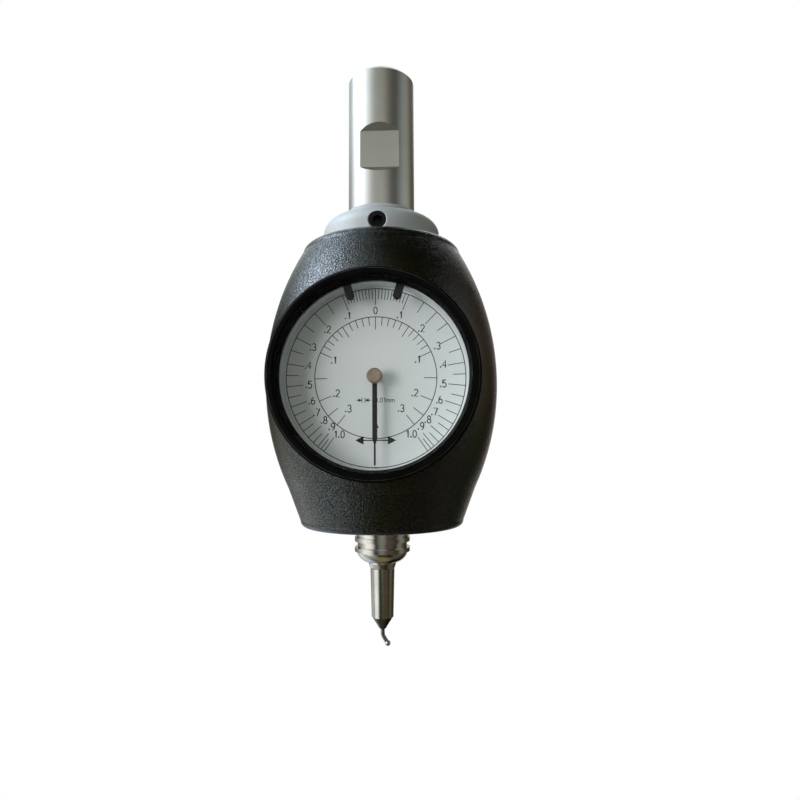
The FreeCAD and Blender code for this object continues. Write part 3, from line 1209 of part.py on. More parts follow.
def nose():
    stub = s.shaftStubDiameter / 2
    outer = s.noseDiameter / 2
    line = outer - s.lineCut
    flange = outer + s.flangeProud
    neck = outer - s.noseNeckCut
    bore = noseBore / 2
    mouth = noseMouth / 2
    stubTop = shaftEnd - s.noseStubLength + s.seatPlay
    body = turned("Nose", [
        (bore, -stubTop), (stub, -stubTop), (stub, -shaftEnd), (outer, -shaftEnd),
        (outer, -noseLineTop), (line, -noseLineTop), (line, -firstFlangeTop),
        (flange, -firstFlangeTop), (flange, -firstFlangeFoot), (neck, -firstFlangeFoot),
        (neck, -secondFlangeTop), (flange, -secondFlangeTop), (flange, -secondFlangeFoot),
        (outer - s.bowlInset, -secondFlangeFoot, s.bowlRadius, -1), (mouth + s.bowlRim, -noseBottom),
        (mouth, -noseBottom), (mouth, -noseBoreEnd), (bore, -noseBoreEnd)])
    keep(body, "nose")
    # block in the nose that carries the pivot pin, slotted for the lever
    radius = bore - s.blockClearance
    height = noseBoreEnd - pivotDepth + s.blockRise
    block = cylinder("BlockBlank", radius * 2, -noseBoreEnd, height)
    width = s.leverThickness + s.leverPlay * 2
    slot = doc.addObject("Part::Box", "BlockSlot")
    bind(slot, "Length", bore + s.toolReach + s.leverRight + s.leverPlay * 6)
    bind(slot, "Width", width)
    bind(slot, "Height", height + s.toolReach * 2)
    place(slot, -bore - s.toolReach, width / -2, -noseBoreEnd - s.toolReach)
    pinHole = pivotCylinder("BlockPinHole", s.pivotPinDiameter + s.seatPlay * 2, noseBore * 2)
    keep(cut("BlockSlotted", block, [slot, pinHole]), "pivot_block")
    # the pin's ends stay inside the block's round side
    beside = s.pivotOffset + s.pivotPinDiameter / 2
    reach = root(radius * radius - beside * beside)
    keep(pivotCylinder("PivotPin", s.pivotPinDiameter, (reach - s.seatPlay) * 2), "pivot_pin")


def pivotCylinder(name, diameter, length):
    # a cylinder on the probe's pivot axis, centred on the spindle's axis
    obj = doc.addObject("Part::Cylinder", name)
    bind(obj, "Radius", diameter / 2)
    bind(obj, "Height", length)
    return place(obj, -s.pivotOffset, length / 2, -pivotDepth, facing)


def probe():
    sleeve = s.sleeveDiameter / 2
    foot = sleeveFoot / 2
    spigot = s.probeSpigot / 2
    sleeveBody = turned("Sleeve", [
        (0, -sleeveTop), (sleeve, -sleeveTop), (sleeve, -sleeveTaperTop), (foot, -sleeveEnd),
        (spigot, -sleeveEnd), (spigot, -probeSpigotEnd), (0, -probeSpigotEnd)])
    blade = doc.addObject("Part::Box", "LeverBlade")
    bind(blade, "Length", s.leverLeft + s.leverRight)
    bind(blade, "Width", s.leverThickness)
    bind(blade, "Height", sleeveTop - leverTop)
    place(blade, -s.leverLeft, s.leverThickness / -2, -sleeveTop)
    pinHole = pivotCylinder("LeverPinHole", s.pivotPinDiameter + s.arborClearance * 2, noseBore * 2)
    keep(cut("Lever", fused("LeverSolid", [sleeveBody, blade]), [pinHole]), "probe_lever")
    barrelSpigot = spigot + s.seatPlay
    collet = s.colletShank / 2 + s.seatPlay
    keep(turned("ProbeBarrel", [
        (barrelSpigot, -barrelTop), (barrelTopDiameter / 2, -barrelTop), (barrelFootDiameter / 2, -barrelEnd),
        (collet, -barrelEnd), (collet, -probeSpigotEnd - s.barrelShelf * 2),
        (barrelSpigot, -probeSpigotEnd - s.barrelShelf)]), "probe_barrel")
    keep(turned("Nut", [
        (collet, -barrelEnd), (nutDiameter / 2, -barrelEnd), (nutFoot / 2, -nutEnd),
        (collet, -nutEnd)]), "clamping_nut")
    stem = s.stemDiameter / 2 + s.seatPlay
    colletTop = barrelEnd - s.colletSink
    coneTop = nutEnd + s.coneStep
    keep(turned("Collet", [
        (stem, -colletTop), (s.colletShank / 2, -colletTop), (s.colletShank / 2, -coneTop),
        (nutFoot / 2 - s.coneStep, -coneTop), (coneFoot / 2, -coneEnd), (stem, -coneEnd)]), "collet")
    stylus()


def stylus():
    # straight stem, a short bend and the bent stretch that carries the ball
    radius = s.stemBendRadius.number
    tilt = math.radians(s.stemTilt.number)
    run = radius * math.tan(tilt / 2)
    top = Vector(0, 0, -stemTop.number)
    corner = Vector(0, 0, -stemBend.number)
    bent = Vector(math.sin(tilt), 0, -math.cos(tilt))
    before = corner + Vector(0, 0, run)
    after = corner + bent * run
    centre = before + Vector(radius, 0, 0)
    middle = centre + Vector(-math.cos(tilt / 2), 0, -math.sin(tilt / 2)) * radius
    ballCentre = corner + bent * s.stemReach.number
    end = ballCentre - bent * s.stemBallInset.number
    path = Part.Wire([Part.LineSegment(top, before).toShape(), Part.Arc(before, middle, after).toShape(),
                      Part.LineSegment(after, end).toShape()])
    section = Part.Wire(Part.Circle(top, Vector(0, 0, 1), s.stemDiameter.number / 2).toShape())
    stem = doc.addObject("Part::Feature", "StylusStem")
    stem.Shape = path.makePipeShell([section], True, True)
    keep(stem, "stylus_stem")
    tip = doc.addObject("Part::Feature", "StylusBall")
    sphere = Part.makeSphere(s.ballDiameter.number / 2, ballCentre)
    tip.Shape = sphere.cut(stem.Shape)
    keep(tip, "stylus_ball")


shank()
collar()
clampScrews()
shaft()
bearings()
casing()
bottomCover()
coverScrews()
dialSide()
movement()
train()
hand()
pushRod()
centringSprings()
nose()
probe()

doc.recompute()
faults = [o.Name for o in doc.Objects if "Invalid" in o.State or "Error" in o.State]
faults += [o.Label for o in nodes if o.Shape.isNull() or not o.Shape.isValid() or not o.Shape.Solids]
if faults:
    raise RuntimeError(f"these did not build: {faults}")

os.makedirs("parts", exist_ok=True)
for piece in nodes:
    piece.Shape.exportStep(f"parts/{piece.Label}.step")
    print(piece.Label, len(piece.Shape.Solids), round(piece.Shape.Volume, 3))
print("sector arbor", round(sectorX.number, 3), round(sectorZ.number, 3))
print("intermediate arbor", round(middleX.number, 3), round(middleZ.number, 3))
print(len(nodes), "pieces")
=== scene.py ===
import json
import math

import bpy
from mathutils import Matrix, Vector


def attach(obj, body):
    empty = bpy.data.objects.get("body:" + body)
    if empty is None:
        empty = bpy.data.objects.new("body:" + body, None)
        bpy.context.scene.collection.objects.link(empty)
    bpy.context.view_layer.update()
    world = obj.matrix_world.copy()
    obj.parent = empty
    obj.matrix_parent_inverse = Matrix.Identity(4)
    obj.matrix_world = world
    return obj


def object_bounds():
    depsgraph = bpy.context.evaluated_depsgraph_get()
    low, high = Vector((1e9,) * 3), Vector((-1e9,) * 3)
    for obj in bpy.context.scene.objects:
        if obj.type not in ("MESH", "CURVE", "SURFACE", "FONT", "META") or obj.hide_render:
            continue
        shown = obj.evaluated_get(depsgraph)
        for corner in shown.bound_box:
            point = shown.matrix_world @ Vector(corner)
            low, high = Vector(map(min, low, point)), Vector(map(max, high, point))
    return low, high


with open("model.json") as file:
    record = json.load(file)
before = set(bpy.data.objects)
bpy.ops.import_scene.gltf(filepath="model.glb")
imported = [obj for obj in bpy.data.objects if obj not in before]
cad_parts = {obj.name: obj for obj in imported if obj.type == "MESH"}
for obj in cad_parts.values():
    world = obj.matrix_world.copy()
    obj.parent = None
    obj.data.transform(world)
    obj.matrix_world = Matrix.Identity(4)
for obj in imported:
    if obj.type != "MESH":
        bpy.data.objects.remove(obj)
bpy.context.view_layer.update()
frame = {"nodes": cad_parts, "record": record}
mm = 0.001

# The indicator hangs in a spindle by its shank. The origin is the shank's foot on the spindle's axis,
# Z runs up, and the dial looks along -Y.
dial = {
    "centreZ": -52.0 * mm,
    "face": -24.0 * mm,            # the printed face, along Y
    "outerScale": 23.4 * mm,       # radius of the outer scale's circle
    "innerScale": 15.9 * mm,       # radius of the inner scale's circle
    "line": 0.19 * mm,             # width of a printed line
    "heavyLine": 0.22 * mm,        # the two circles
    "lift": 0.012 * mm,            # thickness of the print
}
relief = {
    # height that each kind of grain stands for
    "latheLines": 0.02 * mm,
    "pebbles": 0.12 * mm,
    "fineGrain": 0.05 * mm,
    "orangePeel": 0.03 * mm,
}


def nodeMaterial(name):
    material = bpy.data.materials.new(name)
    material.use_nodes = True
    tree = material.node_tree
    tree.nodes.clear()
    return material, tree


def add(tree, kind, **sockets):
    # a node with its plain inputs set by name; spaces in a socket's name are written as underscores
    node = tree.nodes.new(kind)
    for key, value in sockets.items():
        node.inputs[key.replace("_", " ")].default_value = value
    return node


def link(tree, source, output, target, socket):
    tree.links.new(source.outputs[output], target.inputs[socket])


def finishSurface(tree, shader):
    out = tree.nodes.new("ShaderNodeOutputMaterial")
    link(tree, shader, "BSDF", out, "Surface")


def objectPoint(tree, scale=(1.0, 1.0, 1.0), turn=(0.0, 0.0, 0.0), move=(0.0, 0.0, 0.0)):
    # place on the object, stretched for grain that runs one way
    place = tree.nodes.new("ShaderNodeTexCoord")
    mapping = tree.nodes.new("ShaderNodeMapping")
    mapping.inputs["Scale"].default_value = scale
    mapping.inputs["Rotation"].default_value = turn
    mapping.inputs["Location"].default_value = move
    link(tree, place, "Object", mapping, "Vector")
    return mapping


def noise(tree, point, scale, detail=3.0, roughness=0.55):
    node = add(tree, "ShaderNodeTexNoise", Scale=scale, Detail=detail, Roughness=roughness)
    link(tree, point, "Vector", node, "Vector")
    return node


def ramp(tree, source, output, low, high, lowColour, highColour):
    node = tree.nodes.new("ShaderNodeValToRGB")
    node.color_ramp.elements[0].position = low
    node.color_ramp.elements[1].position = high
    node.color_ramp.elements[0].color = (*lowColour, 1.0)
    node.color_ramp.elements[1].color = (*highColour, 1.0)
    link(tree, source, output, node, "Fac")
    return node


def bump(tree, height, output, strength, distance, after=None):
    node = add(tree, "ShaderNodeBump", Strength=strength, Distance=distance)
    link(tree, height, output, node, "Height")
    if after:
        link(tree, after, "Normal", node, "Normal")
    return node


def radiusPoint(tree, axis, centre=(0.0, 0.0, 0.0)):
    # (distance from a turning axis, place along it, 0), for rings and grooves that a lathe leaves
    place = tree.nodes.new("ShaderNodeTexCoord")
    shift = tree.nodes.new("ShaderNodeVectorMath")
    shift.operation = "SUBTRACT"
    shift.inputs[1].default_value = centre
    link(tree, place, "Object", shift, 0)
    flat = tree.nodes.new("ShaderNodeVectorMath")
    flat.operation = "MULTIPLY"
    flat.inputs[1].default_value = (1.0, 1.0, 0.0) if axis == "Z" else (1.0, 0.0, 1.0)
    link(tree, shift, "Vector", flat, 0)
    length = tree.nodes.new("ShaderNodeVectorMath")
    length.operation = "LENGTH"
    link(tree, flat, "Vector", length, 0)
    split = tree.nodes.new("ShaderNodeSeparateXYZ")
    link(tree, shift, "Vector", split, 0)
    join = tree.nodes.new("ShaderNodeCombineXYZ")
    link(tree, length, "Value", join, "X")
    link(tree, split, axis, join, "Y")
    return join


def edgeHighlight(tree, colour, settings):
    # painted highlight: a fine bright line along an edge, broken here and there
    around = radiusPoint(tree, settings["axis"], settings["centre"])
    split = tree.nodes.new("ShaderNodeSeparateXYZ")
    link(tree, around, "Vector", split, 0)
    near = tree.nodes.new("ShaderNodeMath")
    near.operation = "COMPARE"
    near.inputs[1].default_value = settings["highlightRadius"]
    near.inputs[2].default_value = settings["highlightWidth"]
    link(tree, split, "X", near, 0)
    gaps = noise(tree, objectPoint(tree), settings["highlightBreakScale"], 2.0)
    left = ramp(tree, gaps, "Fac", 0.36, 0.56, (settings["highlightFaint"],) * 3, (1.0,) * 3)
    amount = tree.nodes.new("ShaderNodeMath")
    amount.operation = "MULTIPLY"
    link(tree, near, "Value", amount, 0)
    link(tree, left, "Color", amount, 1)
    mix = tree.nodes.new("ShaderNodeMix")
    mix.data_type = "RGBA"
    mix.inputs[7].default_value = (*settings["highlightColour"], 1.0)
    link(tree, amount, "Value", mix, "Factor")
    tree.links.new(colour.outputs[2], mix.inputs[6])
    return mix


def turnedMetal(name, settings):
    # metal with fine lathe or grinding lines round its axis and a faint change of tone
    material, tree = nodeMaterial(name)
    lines = noise(tree, radiusPoint(tree, settings["axis"], settings.get("centre", (0, 0, 0))),
                  settings["lineScale"], 2.0, 0.6)
    cloud = noise(tree, objectPoint(tree), settings["cloudScale"], 3.0)
    tone = ramp(tree, cloud, "Fac", 0.3, 0.7, settings["dark"], settings["light"])
    streak = ramp(tree, lines, "Fac", 0.25, 0.75, (settings["streak"],) * 3, (1.0, 1.0, 1.0))
    colour = tree.nodes.new("ShaderNodeMix")
    colour.data_type = "RGBA"
    colour.blend_type = "MULTIPLY"
    colour.inputs["Factor"].default_value = 1.0
    tree.links.new(tone.outputs["Color"], colour.inputs[6])
    tree.links.new(streak.outputs["Color"], colour.inputs[7])
    gloss = ramp(tree, lines, "Fac", 0.2, 0.8, (settings["smooth"],) * 3, (settings["rough"],) * 3)
    shader = add(tree, "ShaderNodeBsdfPrincipled", Metallic=settings.get("metallic", 1.0),
                 Specular_IOR_Level=settings.get("shine", 0.5))
    # a painted highlight along an edge, where the settings ask for one
    if "highlightRadius" in settings:
        colour = edgeHighlight(tree, colour, settings)
    tree.links.new(colour.outputs[2], shader.inputs["Base Color"])
    link(tree, gloss, "Color", shader, "Roughness")
    grain = bump(tree, lines, "Fac", settings["lineDepth"], relief["latheLines"])
    link(tree, grain, "Normal", shader, "Normal")
    finishSurface(tree, shader)
    return material


def pebbled(name, settings):
    # coating with a fine raised grain, as on sprayed instrument bodies
    material, tree = nodeMaterial(name)
    point = objectPoint(tree)
    grain = add(tree, "ShaderNodeTexVoronoi", Scale=settings["grainScale"], Randomness=1.0)
    grain.feature = "SMOOTH_F1"
    grain.inputs["Smoothness"].default_value = 0.6
    link(tree, point, "Vector", grain, "Vector")
    fine = noise(tree, point, settings["fineScale"], 2.0)
    cloud = noise(tree, point, settings["cloudScale"], 3.0)
    tone = ramp(tree, cloud, "Fac", 0.3, 0.7, settings["dark"], settings["light"])
    gloss = ramp(tree, fine, "Fac", 0.3, 0.7, (settings["smooth"],) * 3, (settings["rough"],) * 3)
    glint = ramp(tree, noise(tree, point, settings["glintScale"], 1.0), "Fac", 0.36, 0.64,
                 (settings["dull"],) * 3, (settings["shine"],) * 3)
    shader = add(tree, "ShaderNodeBsdfPrincipled", Metallic=0.0)
    link(tree, glint, "Color", shader, "Specular IOR Level")
    link(tree, tone, "Color", shader, "Base Color")
    link(tree, gloss, "Color", shader, "Roughness")
    raised = bump(tree, grain, "Distance", settings["grainDepth"], relief["pebbles"])
    both = bump(tree, fine, "Fac", settings["fineDepth"], relief["fineGrain"], raised)
    link(tree, both, "Normal", shader, "Normal")
    finishSurface(tree, shader)
    return material


def painted(name, settings):
    # smooth paint or plastic with a faint orange peel
    material, tree = nodeMaterial(name)
    point = objectPoint(tree)
    peel = noise(tree, point, settings["peelScale"], 2.0)
    cloud = noise(tree, point, settings.get("cloudScale", 90.0), 3.0)
    tone = ramp(tree, cloud, "Fac", 0.3, 0.7, settings["dark"], settings["light"])
    gloss = ramp(tree, peel, "Fac", 0.3, 0.7, (settings["smooth"],) * 3, (settings["rough"],) * 3)
    shader = add(tree, "ShaderNodeBsdfPrincipled", Metallic=settings.get("metallic", 0.0),
                 Specular_IOR_Level=settings.get("shine", 0.4))
    link(tree, tone, "Color", shader, "Base Color")
    link(tree, gloss, "Color", shader, "Roughness")
    surface = bump(tree, peel, "Fac", settings["peelDepth"], relief["orangePeel"])
    link(tree, surface, "Normal", shader, "Normal")
    finishSurface(tree, shader)
    return material


def clearCrystal(name, settings):
    # flat mineral crystal with a coating against glare, so its index is low; lamps shine through it
    material, tree = nodeMaterial(name)
    glass = add(tree, "ShaderNodeBsdfPrincipled", Roughness=0.0, IOR=settings["index"],
                Transmission_Weight=1.0)
    smear = noise(tree, objectPoint(tree), settings["smearScale"], 2.0)
    tint = ramp(tree, smear, "Fac", 0.3, 0.7, settings["dark"], settings["light"])
    link(tree, tint, "Color", glass, "Base Color")
    through = tree.nodes.new("ShaderNodeBsdfTransparent")
    path = tree.nodes.new("ShaderNodeLightPath")
    mix = tree.nodes.new("ShaderNodeMixShader")
    link(tree, path, "Is Shadow Ray", mix, "Fac")
    tree.links.new(glass.outputs["BSDF"], mix.inputs[1])
    tree.links.new(through.outputs["BSDF"], mix.inputs[2])
    out = tree.nodes.new("ShaderNodeOutputMaterial")
    link(tree, mix, "Shader", out, "Surface")
    return material


dialAxis = (0.0, 0.0, dial["centreZ"])
finishes = {
    "ground_steel": turnedMetal("groundSteel", {
        "axis": "Z", "lineScale": 5200.0, "cloudScale": 70.0, "dark": (0.47, 0.46, 0.44),
        "light": (0.55, 0.54, 0.52), "streak": 0.95, "smooth": 0.36, "rough": 0.42, "lineDepth": 0.02}),
    "grey_anodised": turnedMetal("greyAnodised", {
        "axis": "Z", "lineScale": 3600.0, "cloudScale": 160.0, "dark": (0.40, 0.42, 0.43),
        "light": (0.48, 0.50, 0.51), "streak": 0.94, "smooth": 0.48, "rough": 0.58, "lineDepth": 0.05,
        "metallic": 0.15}),
    "black_steel": turnedMetal("blackSteel", {
        "axis": "Z", "lineScale": 3000.0, "cloudScale": 300.0, "dark": (0.012, 0.012, 0.013),
        "light": (0.03, 0.03, 0.032), "streak": 0.8, "smooth": 0.3, "rough": 0.45, "lineDepth": 0.2}),
    "shaft_steel": turnedMetal("shaftSteel", {
        "axis": "Z", "lineScale": 4200.0, "cloudScale": 90.0, "dark": (0.5, 0.51, 0.52),
        "light": (0.58, 0.59, 0.6), "streak": 0.85, "smooth": 0.2, "rough": 0.32, "lineDepth": 0.2}),
    "bearing_steel": turnedMetal("bearingSteel", {
        "axis": "Z", "lineScale": 5200.0, "cloudScale": 120.0, "dark": (0.6, 0.61, 0.62),
        "light": (0.68, 0.69, 0.7), "streak": 0.93, "smooth": 0.08, "rough": 0.16, "lineDepth": 0.08}),
    "spring_steel": turnedMetal("springSteel", {
        "axis": "Z", "lineScale": 900.0, "cloudScale": 200.0, "dark": (0.3, 0.31, 0.33),
        "light": (0.4, 0.41, 0.43), "streak": 0.85, "smooth": 0.25, "rough": 0.4, "lineDepth": 0.1}),
    "nickel_steel": turnedMetal("nickelSteel", {
        "axis": "Z", "lineScale": 4600.0, "cloudScale": 140.0, "dark": (0.47, 0.445, 0.40),
        "light": (0.56, 0.535, 0.485), "streak": 0.93, "smooth": 0.16, "rough": 0.24, "lineDepth": 0.06}),
    "dark_steel": turnedMetal("darkSteel", {
        "axis": "Z", "lineScale": 3600.0, "cloudScale": 260.0, "dark": (0.065, 0.058, 0.05),
        "light": (0.11, 0.098, 0.085), "streak": 0.9, "smooth": 0.25, "rough": 0.36, "lineDepth": 0.05}),
    "stem_steel": turnedMetal("stemSteel", {
        "axis": "Z", "lineScale": 4200.0, "cloudScale": 400.0, "dark": (0.22, 0.215, 0.21),
        "light": (0.32, 0.31, 0.3), "streak": 0.92, "smooth": 0.2, "rough": 0.3, "lineDepth": 0.03}),
    "ball_steel": turnedMetal("ballSteel", {
        "axis": "Z", "lineScale": 5200.0, "cloudScale": 400.0, "dark": (0.56, 0.56, 0.57),
        "light": (0.64, 0.64, 0.65), "streak": 0.95, "smooth": 0.07, "rough": 0.14, "lineDepth": 0.05}),
    "casing_black": pebbled("casingBlack", {
        "grainScale": 2600.0, "fineScale": 6000.0, "cloudScale": 60.0, "dark": (0.002, 0.002, 0.0019),
        "light": (0.0035, 0.0035, 0.0034), "glintScale": 2500.0, "dull": 0.25, "shine": 1.0,
        "smooth": 0.18, "rough": 0.25, "grainDepth": 0.9, "fineDepth": 0.2}),
    "bezel_black": turnedMetal("bezelBlack", {
        "axis": "Y", "centre": dialAxis, "lineScale": 4600.0, "cloudScale": 200.0,
        "dark": (0.0025, 0.0025, 0.0024), "light": (0.005, 0.005, 0.005), "streak": 0.9,
        "smooth": 0.22, "rough": 0.32, "lineDepth": 0.03, "metallic": 0.0, "shine": 0.02,
        # painted highlight: a fine bright line near the bezel's outer edge
        "highlightRadius": 26.1 * mm, "highlightWidth": 0.07 * mm, "highlightColour": (0.035, 0.035, 0.032),
        "highlightBreakScale": 420.0, "highlightFaint": 0.25}),
    "marker_black": painted("markerBlack", {
        "peelScale": 2400.0, "dark": (0.003, 0.004, 0.0035), "light": (0.006, 0.0075, 0.0065),
        "smooth": 0.4, "rough": 0.55, "peelDepth": 0.12, "shine": 0.2}),
    "crystal_glass": clearCrystal("crystalGlass", {
        "index": 1.18, "smearScale": 40.0, "dark": (0.97, 0.99, 0.985), "light": (1.0, 1.0, 1.0)}),
    "dial_white": painted("dialWhite", {
        "peelScale": 1800.0, "cloudScale": 70.0, "dark": (0.70, 0.725, 0.73),
        "light": (0.74, 0.765, 0.77),
        "smooth": 0.42, "rough": 0.5, "peelDepth": 0.06}),
    # the ring round the dial is greyer than the dial: partly its own light grey, partly painted shade of the
    # bezel over the dial's margin
    "rim_grey": painted("rimGreyWithShade", {
        "peelScale": 1800.0, "dark": (0.55, 0.575, 0.58), "light": (0.6, 0.625, 0.63),
        "smooth": 0.35, "rough": 0.45, "peelDepth": 0.06}),
    "hand_black": painted("handBlack", {
        "peelScale": 2400.0, "cloudScale": 700.0, "dark": (0.006, 0.005, 0.004),
        "light": (0.016, 0.0125, 0.0095),
        "smooth": 0.28, "rough": 0.4, "peelDepth": 0.08, "shine": 0.25}),
    "cap_copper": turnedMetal("capCopper", {
        "axis": "Y", "centre": dialAxis, "lineScale": 4200.0, "cloudScale": 500.0,
        "dark": (0.28, 0.20, 0.15), "light": (0.46, 0.37, 0.31), "streak": 0.85,
        "smooth": 0.25, "rough": 0.38, "lineDepth": 0.1}),
    "gear_brass": turnedMetal("gearBrass", {
        "axis": "Y", "centre": dialAxis, "lineScale": 3000.0, "cloudScale": 200.0,
        "dark": (0.62, 0.46, 0.2), "light": (0.72, 0.57, 0.28), "streak": 0.88,
        "smooth": 0.22, "rough": 0.36, "lineDepth": 0.15}),
    "plate_brass": turnedMetal("plateBrass", {
        "axis": "Y", "centre": dialAxis, "lineScale": 1500.0, "cloudScale": 120.0,
        "dark": (0.6, 0.47, 0.25), "light": (0.7, 0.58, 0.34), "streak": 0.9,
        "smooth": 0.3, "rough": 0.45, "lineDepth": 0.2}),
}


def dressNodes():
    # each carried-over node takes the finish that the record names for it
    slots = {}
    for entry in frame["record"]["materials"]:
        for node in entry.get("nodes", []):
            slots[node] = entry["slot"]
    for name, node in frame["nodes"].items():
        for index, old in enumerate(node.data.materials):
            slot = slots.get(name) or (old.name.split(".")[0] if old else "")
            if slot not in finishes:
                raise RuntimeError(f"no finish for {name}: {slot}")
            node.data.materials[index] = finishes[slot]


dressNodes()
print("finishes set")


class Printing:
    # flat print on the dial's face: boxes thin enough to read as ink
    def __init__(self):
        self.points = []
        self.faces = []

    def strip(self, path, width, closed=False):
        # a ribbon of even width along a path of (across, up) points, across to the right
        count = len(path)
        left, right = [], []
        for index in range(count):
            before = path[(index - 1) % count] if closed or index else path[0]
            after = path[(index + 1) % count] if closed or index < count - 1 else path[-1]
            dx, dz = after[0] - before[0], after[1] - before[1]
            length = math.hypot(dx, dz) or 1.0
            here = path[index]
            inset = self.mitre(path, index, closed)
            nx, nz = -dz / length * width / 2 * inset, dx / length * width / 2 * inset
            left.append((here[0] + nx, here[1] + nz))
            right.append((here[0] - nx, here[1] - nz))
        steps = count if closed else count - 1
        for index in range(steps):
            after = (index + 1) % count
            self.block([right[index], right[after], left[after], left[index]])

    def mitre(self, path, index, closed):
        # how much wider the ribbon is at a corner, so that its sides stay parallel
        count = len(path)
        if not closed and index in (0, count - 1):
            return 1.0
        a, b, c = path[(index - 1) % count], path[index], path[(index + 1) % count]
        first = math.atan2(b[1] - a[1], b[0] - a[0])
        second = math.atan2(c[1] - b[1], c[0] - b[0])
        return min(1.0 / max(math.cos((second - first) / 2), 0.5), 1.6)

    def block(self, corners):
        base = len(self.points)
        top = dial["face"] - dial["lift"]
        for y in (dial["face"], top):
            self.points += [(x, y, dial["centreZ"] + z) for x, z in corners]
        count = len(corners)
        self.faces.append([base + count + i for i in range(count)])
        self.faces.append([base + i for i in reversed(range(count))])
        for index in range(count):
            after = (index + 1) % count
            self.faces.append([base + index, base + after, base + count + after, base + count + index])

    def piece(self, name, material):
        mesh = bpy.data.meshes.new(name)
        mesh.from_pydata(self.points, [], self.faces)
        mesh.validate()
        mesh.update()
        mesh.materials.append(material)
        thing = bpy.data.objects.new(name, mesh)
        bpy.context.scene.collection.objects.link(thing)
        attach(thing, "housing")
        return thing


def arcPath(cx, cz, rx, rz, start, stop, steps):
    # points along an oval arc, angles in degrees, anticlockwise from the right
    path = []
    for index in range(steps + 1):
        angle = math.radians(start + (stop - start) * index / steps)
        path.append((cx + rx * math.cos(angle), cz + rz * math.sin(angle)))
    return path


def onDial(radius, angle):
    # angle in degrees clockwise from the dial's top
    turn = math.radians(angle)
    return radius * math.sin(turn), radius * math.cos(turn)


# each digit as strokes in a cell 0.56 wide and 1 high
digits = {
    "0": [arcPath(0.28, 0.5, 0.24, 0.5, 90, 450, 28)],
    "1": [[(0.12, 0.78), (0.30, 1.0), (0.30, 0.0)]],
    "2": [arcPath(0.28, 0.73, 0.24, 0.27, 170, -35, 14) + [(0.03, 0.0), (0.54, 0.0)]],
    "3": [arcPath(0.27, 0.75, 0.22, 0.25, 160, -90, 14) + arcPath(0.27, 0.26, 0.25, 0.26, 80, -160, 16)],
    "4": [[(0.40, 0.0), (0.40, 1.0), (0.0, 0.30), (0.56, 0.30)]],
    "5": [[(0.50, 1.0), (0.10, 1.0), (0.06, 0.54)] + arcPath(0.26, 0.32, 0.26, 0.32, 125, -150, 18)],
    "6": [arcPath(0.42, 0.42, 0.38, 0.58, 100, 180, 10) + arcPath(0.28, 0.30, 0.24, 0.30, 180, 540, 24)],
    "7": [[(0.02, 1.0), (0.54, 1.0), (0.20, 0.0)]],
    "8": [arcPath(0.28, 0.76, 0.20, 0.24, -90, 270, 22), arcPath(0.28, 0.26, 0.25, 0.26, 90, 450, 24)],
    "9": [arcPath(0.28, 0.70, 0.24, 0.30, 0, 360, 24) + arcPath(0.14, 0.58, 0.38, 0.58, 0, -80, 10)],
    "m": [[(0.0, 0.0), (0.0, 0.62)], arcPath(0.19, 0.42, 0.19, 0.2, 180, 0, 10) + [(0.38, 0.0)],
          arcPath(0.57, 0.42, 0.19, 0.2, 180, 0, 10) + [(0.76, 0.0)]],
}
digitWidth = {"1": 0.42, "m": 0.76}


def label(ink, text, x, z, height, width):
    # a row of digits centred on (x, z)
    gap = 0.20
    total = 0.0
    places = []
    for letter in text:
        step = 0.12 if letter == "." else digitWidth.get(letter, 0.56)
        places.append((letter, total))
        total += step + gap
    total -= gap
    left = x - total * height / 2
    for letter, shift in places:
        start = left + shift * height
        if letter == ".":
            size = width * 0.75
            ink.block([(start - size + width / 2, z - height / 2), (start + size + width / 2, z - height / 2),
                       (start + size + width / 2, z - height / 2 + size * 2),
                       (start - size + width / 2, z - height / 2 + size * 2)])
            continue
        for stroke in digits[letter]:
            ink.strip([(start + px * height, z - height / 2 + pz * height) for px, pz in stroke], width)


scale = {
    # angle from the top of each printed value, in degrees; both sides of the dial are alike
    "outer": {0.0: 0, 0.1: 22.0, 0.15: 33.0, 0.2: 43.3, 0.25: 53.3, 0.3: 63.1, 0.35: 71.8, 0.4: 80.9,
              0.45: 88.3, 0.5: 95.7, 0.55: 102.9, 0.6: 109.0, 0.65: 115.0, 0.7: 121.6, 0.75: 126.4,
              0.8: 131.6, 0.85: 136.1, 0.9: 140.0, 0.95: 142.5, 1.0: 145.0},
    "outerFine": 2.2,              # degrees for each hundredth up to 0.1
    "inner": {0.0: 0, 0.05: 33.2, 0.1: 65.5, 0.15: 91.0, 0.2: 112.6, 0.25: 129.0, 0.3: 141.0},
    "innerFine": 6.5,              # degrees for each hundredth up to 0.1
    "longTick": 4.4 * mm,
    "halfTick": 3.3 * mm,
    "fineTick": 2.8 * mm,
    "innerLong": 3.3 * mm,
    "innerFineTick": 2.2 * mm,
    "digitHeight": 1.85 * mm,
    "stroke": 0.25 * mm,
}


def tick(ink, radius, angle, length, width):
    ink.strip([onDial(radius, angle), onDial(radius - length, angle)], width)


def printDial():
    ink = Printing()
    full = [onDial(dial["outerScale"], 360 * i / 180) for i in range(180)]
    ink.strip(full, dial["heavyLine"], closed=True)
    full = [onDial(dial["innerScale"], 360 * i / 150) for i in range(150)]
    ink.strip(full, dial["heavyLine"], closed=True)
    outer, inner = dial["outerScale"], dial["innerScale"]
    for side in (-1, 1):
        for value, angle in scale["outer"].items():
            if side == 1 or angle:
                whole = round(value * 100) % 10 == 0
                length = scale["longTick"] if whole else scale["halfTick"]
                tick(ink, outer, angle * side, length, dial["line"])
        for step in range(1, 10):
            tick(ink, outer, step * scale["outerFine"] * side, scale["fineTick"], dial["line"])
        for value, angle in scale["inner"].items():
            if side == 1 or angle:
                tick(ink, inner, angle * side, scale["innerLong"], dial["line"])
        for step in range(1, 10):
            if step != 5:
                tick(ink, inner, step * scale["innerFine"] * side, scale["innerFineTick"], dial["line"])
    return ink


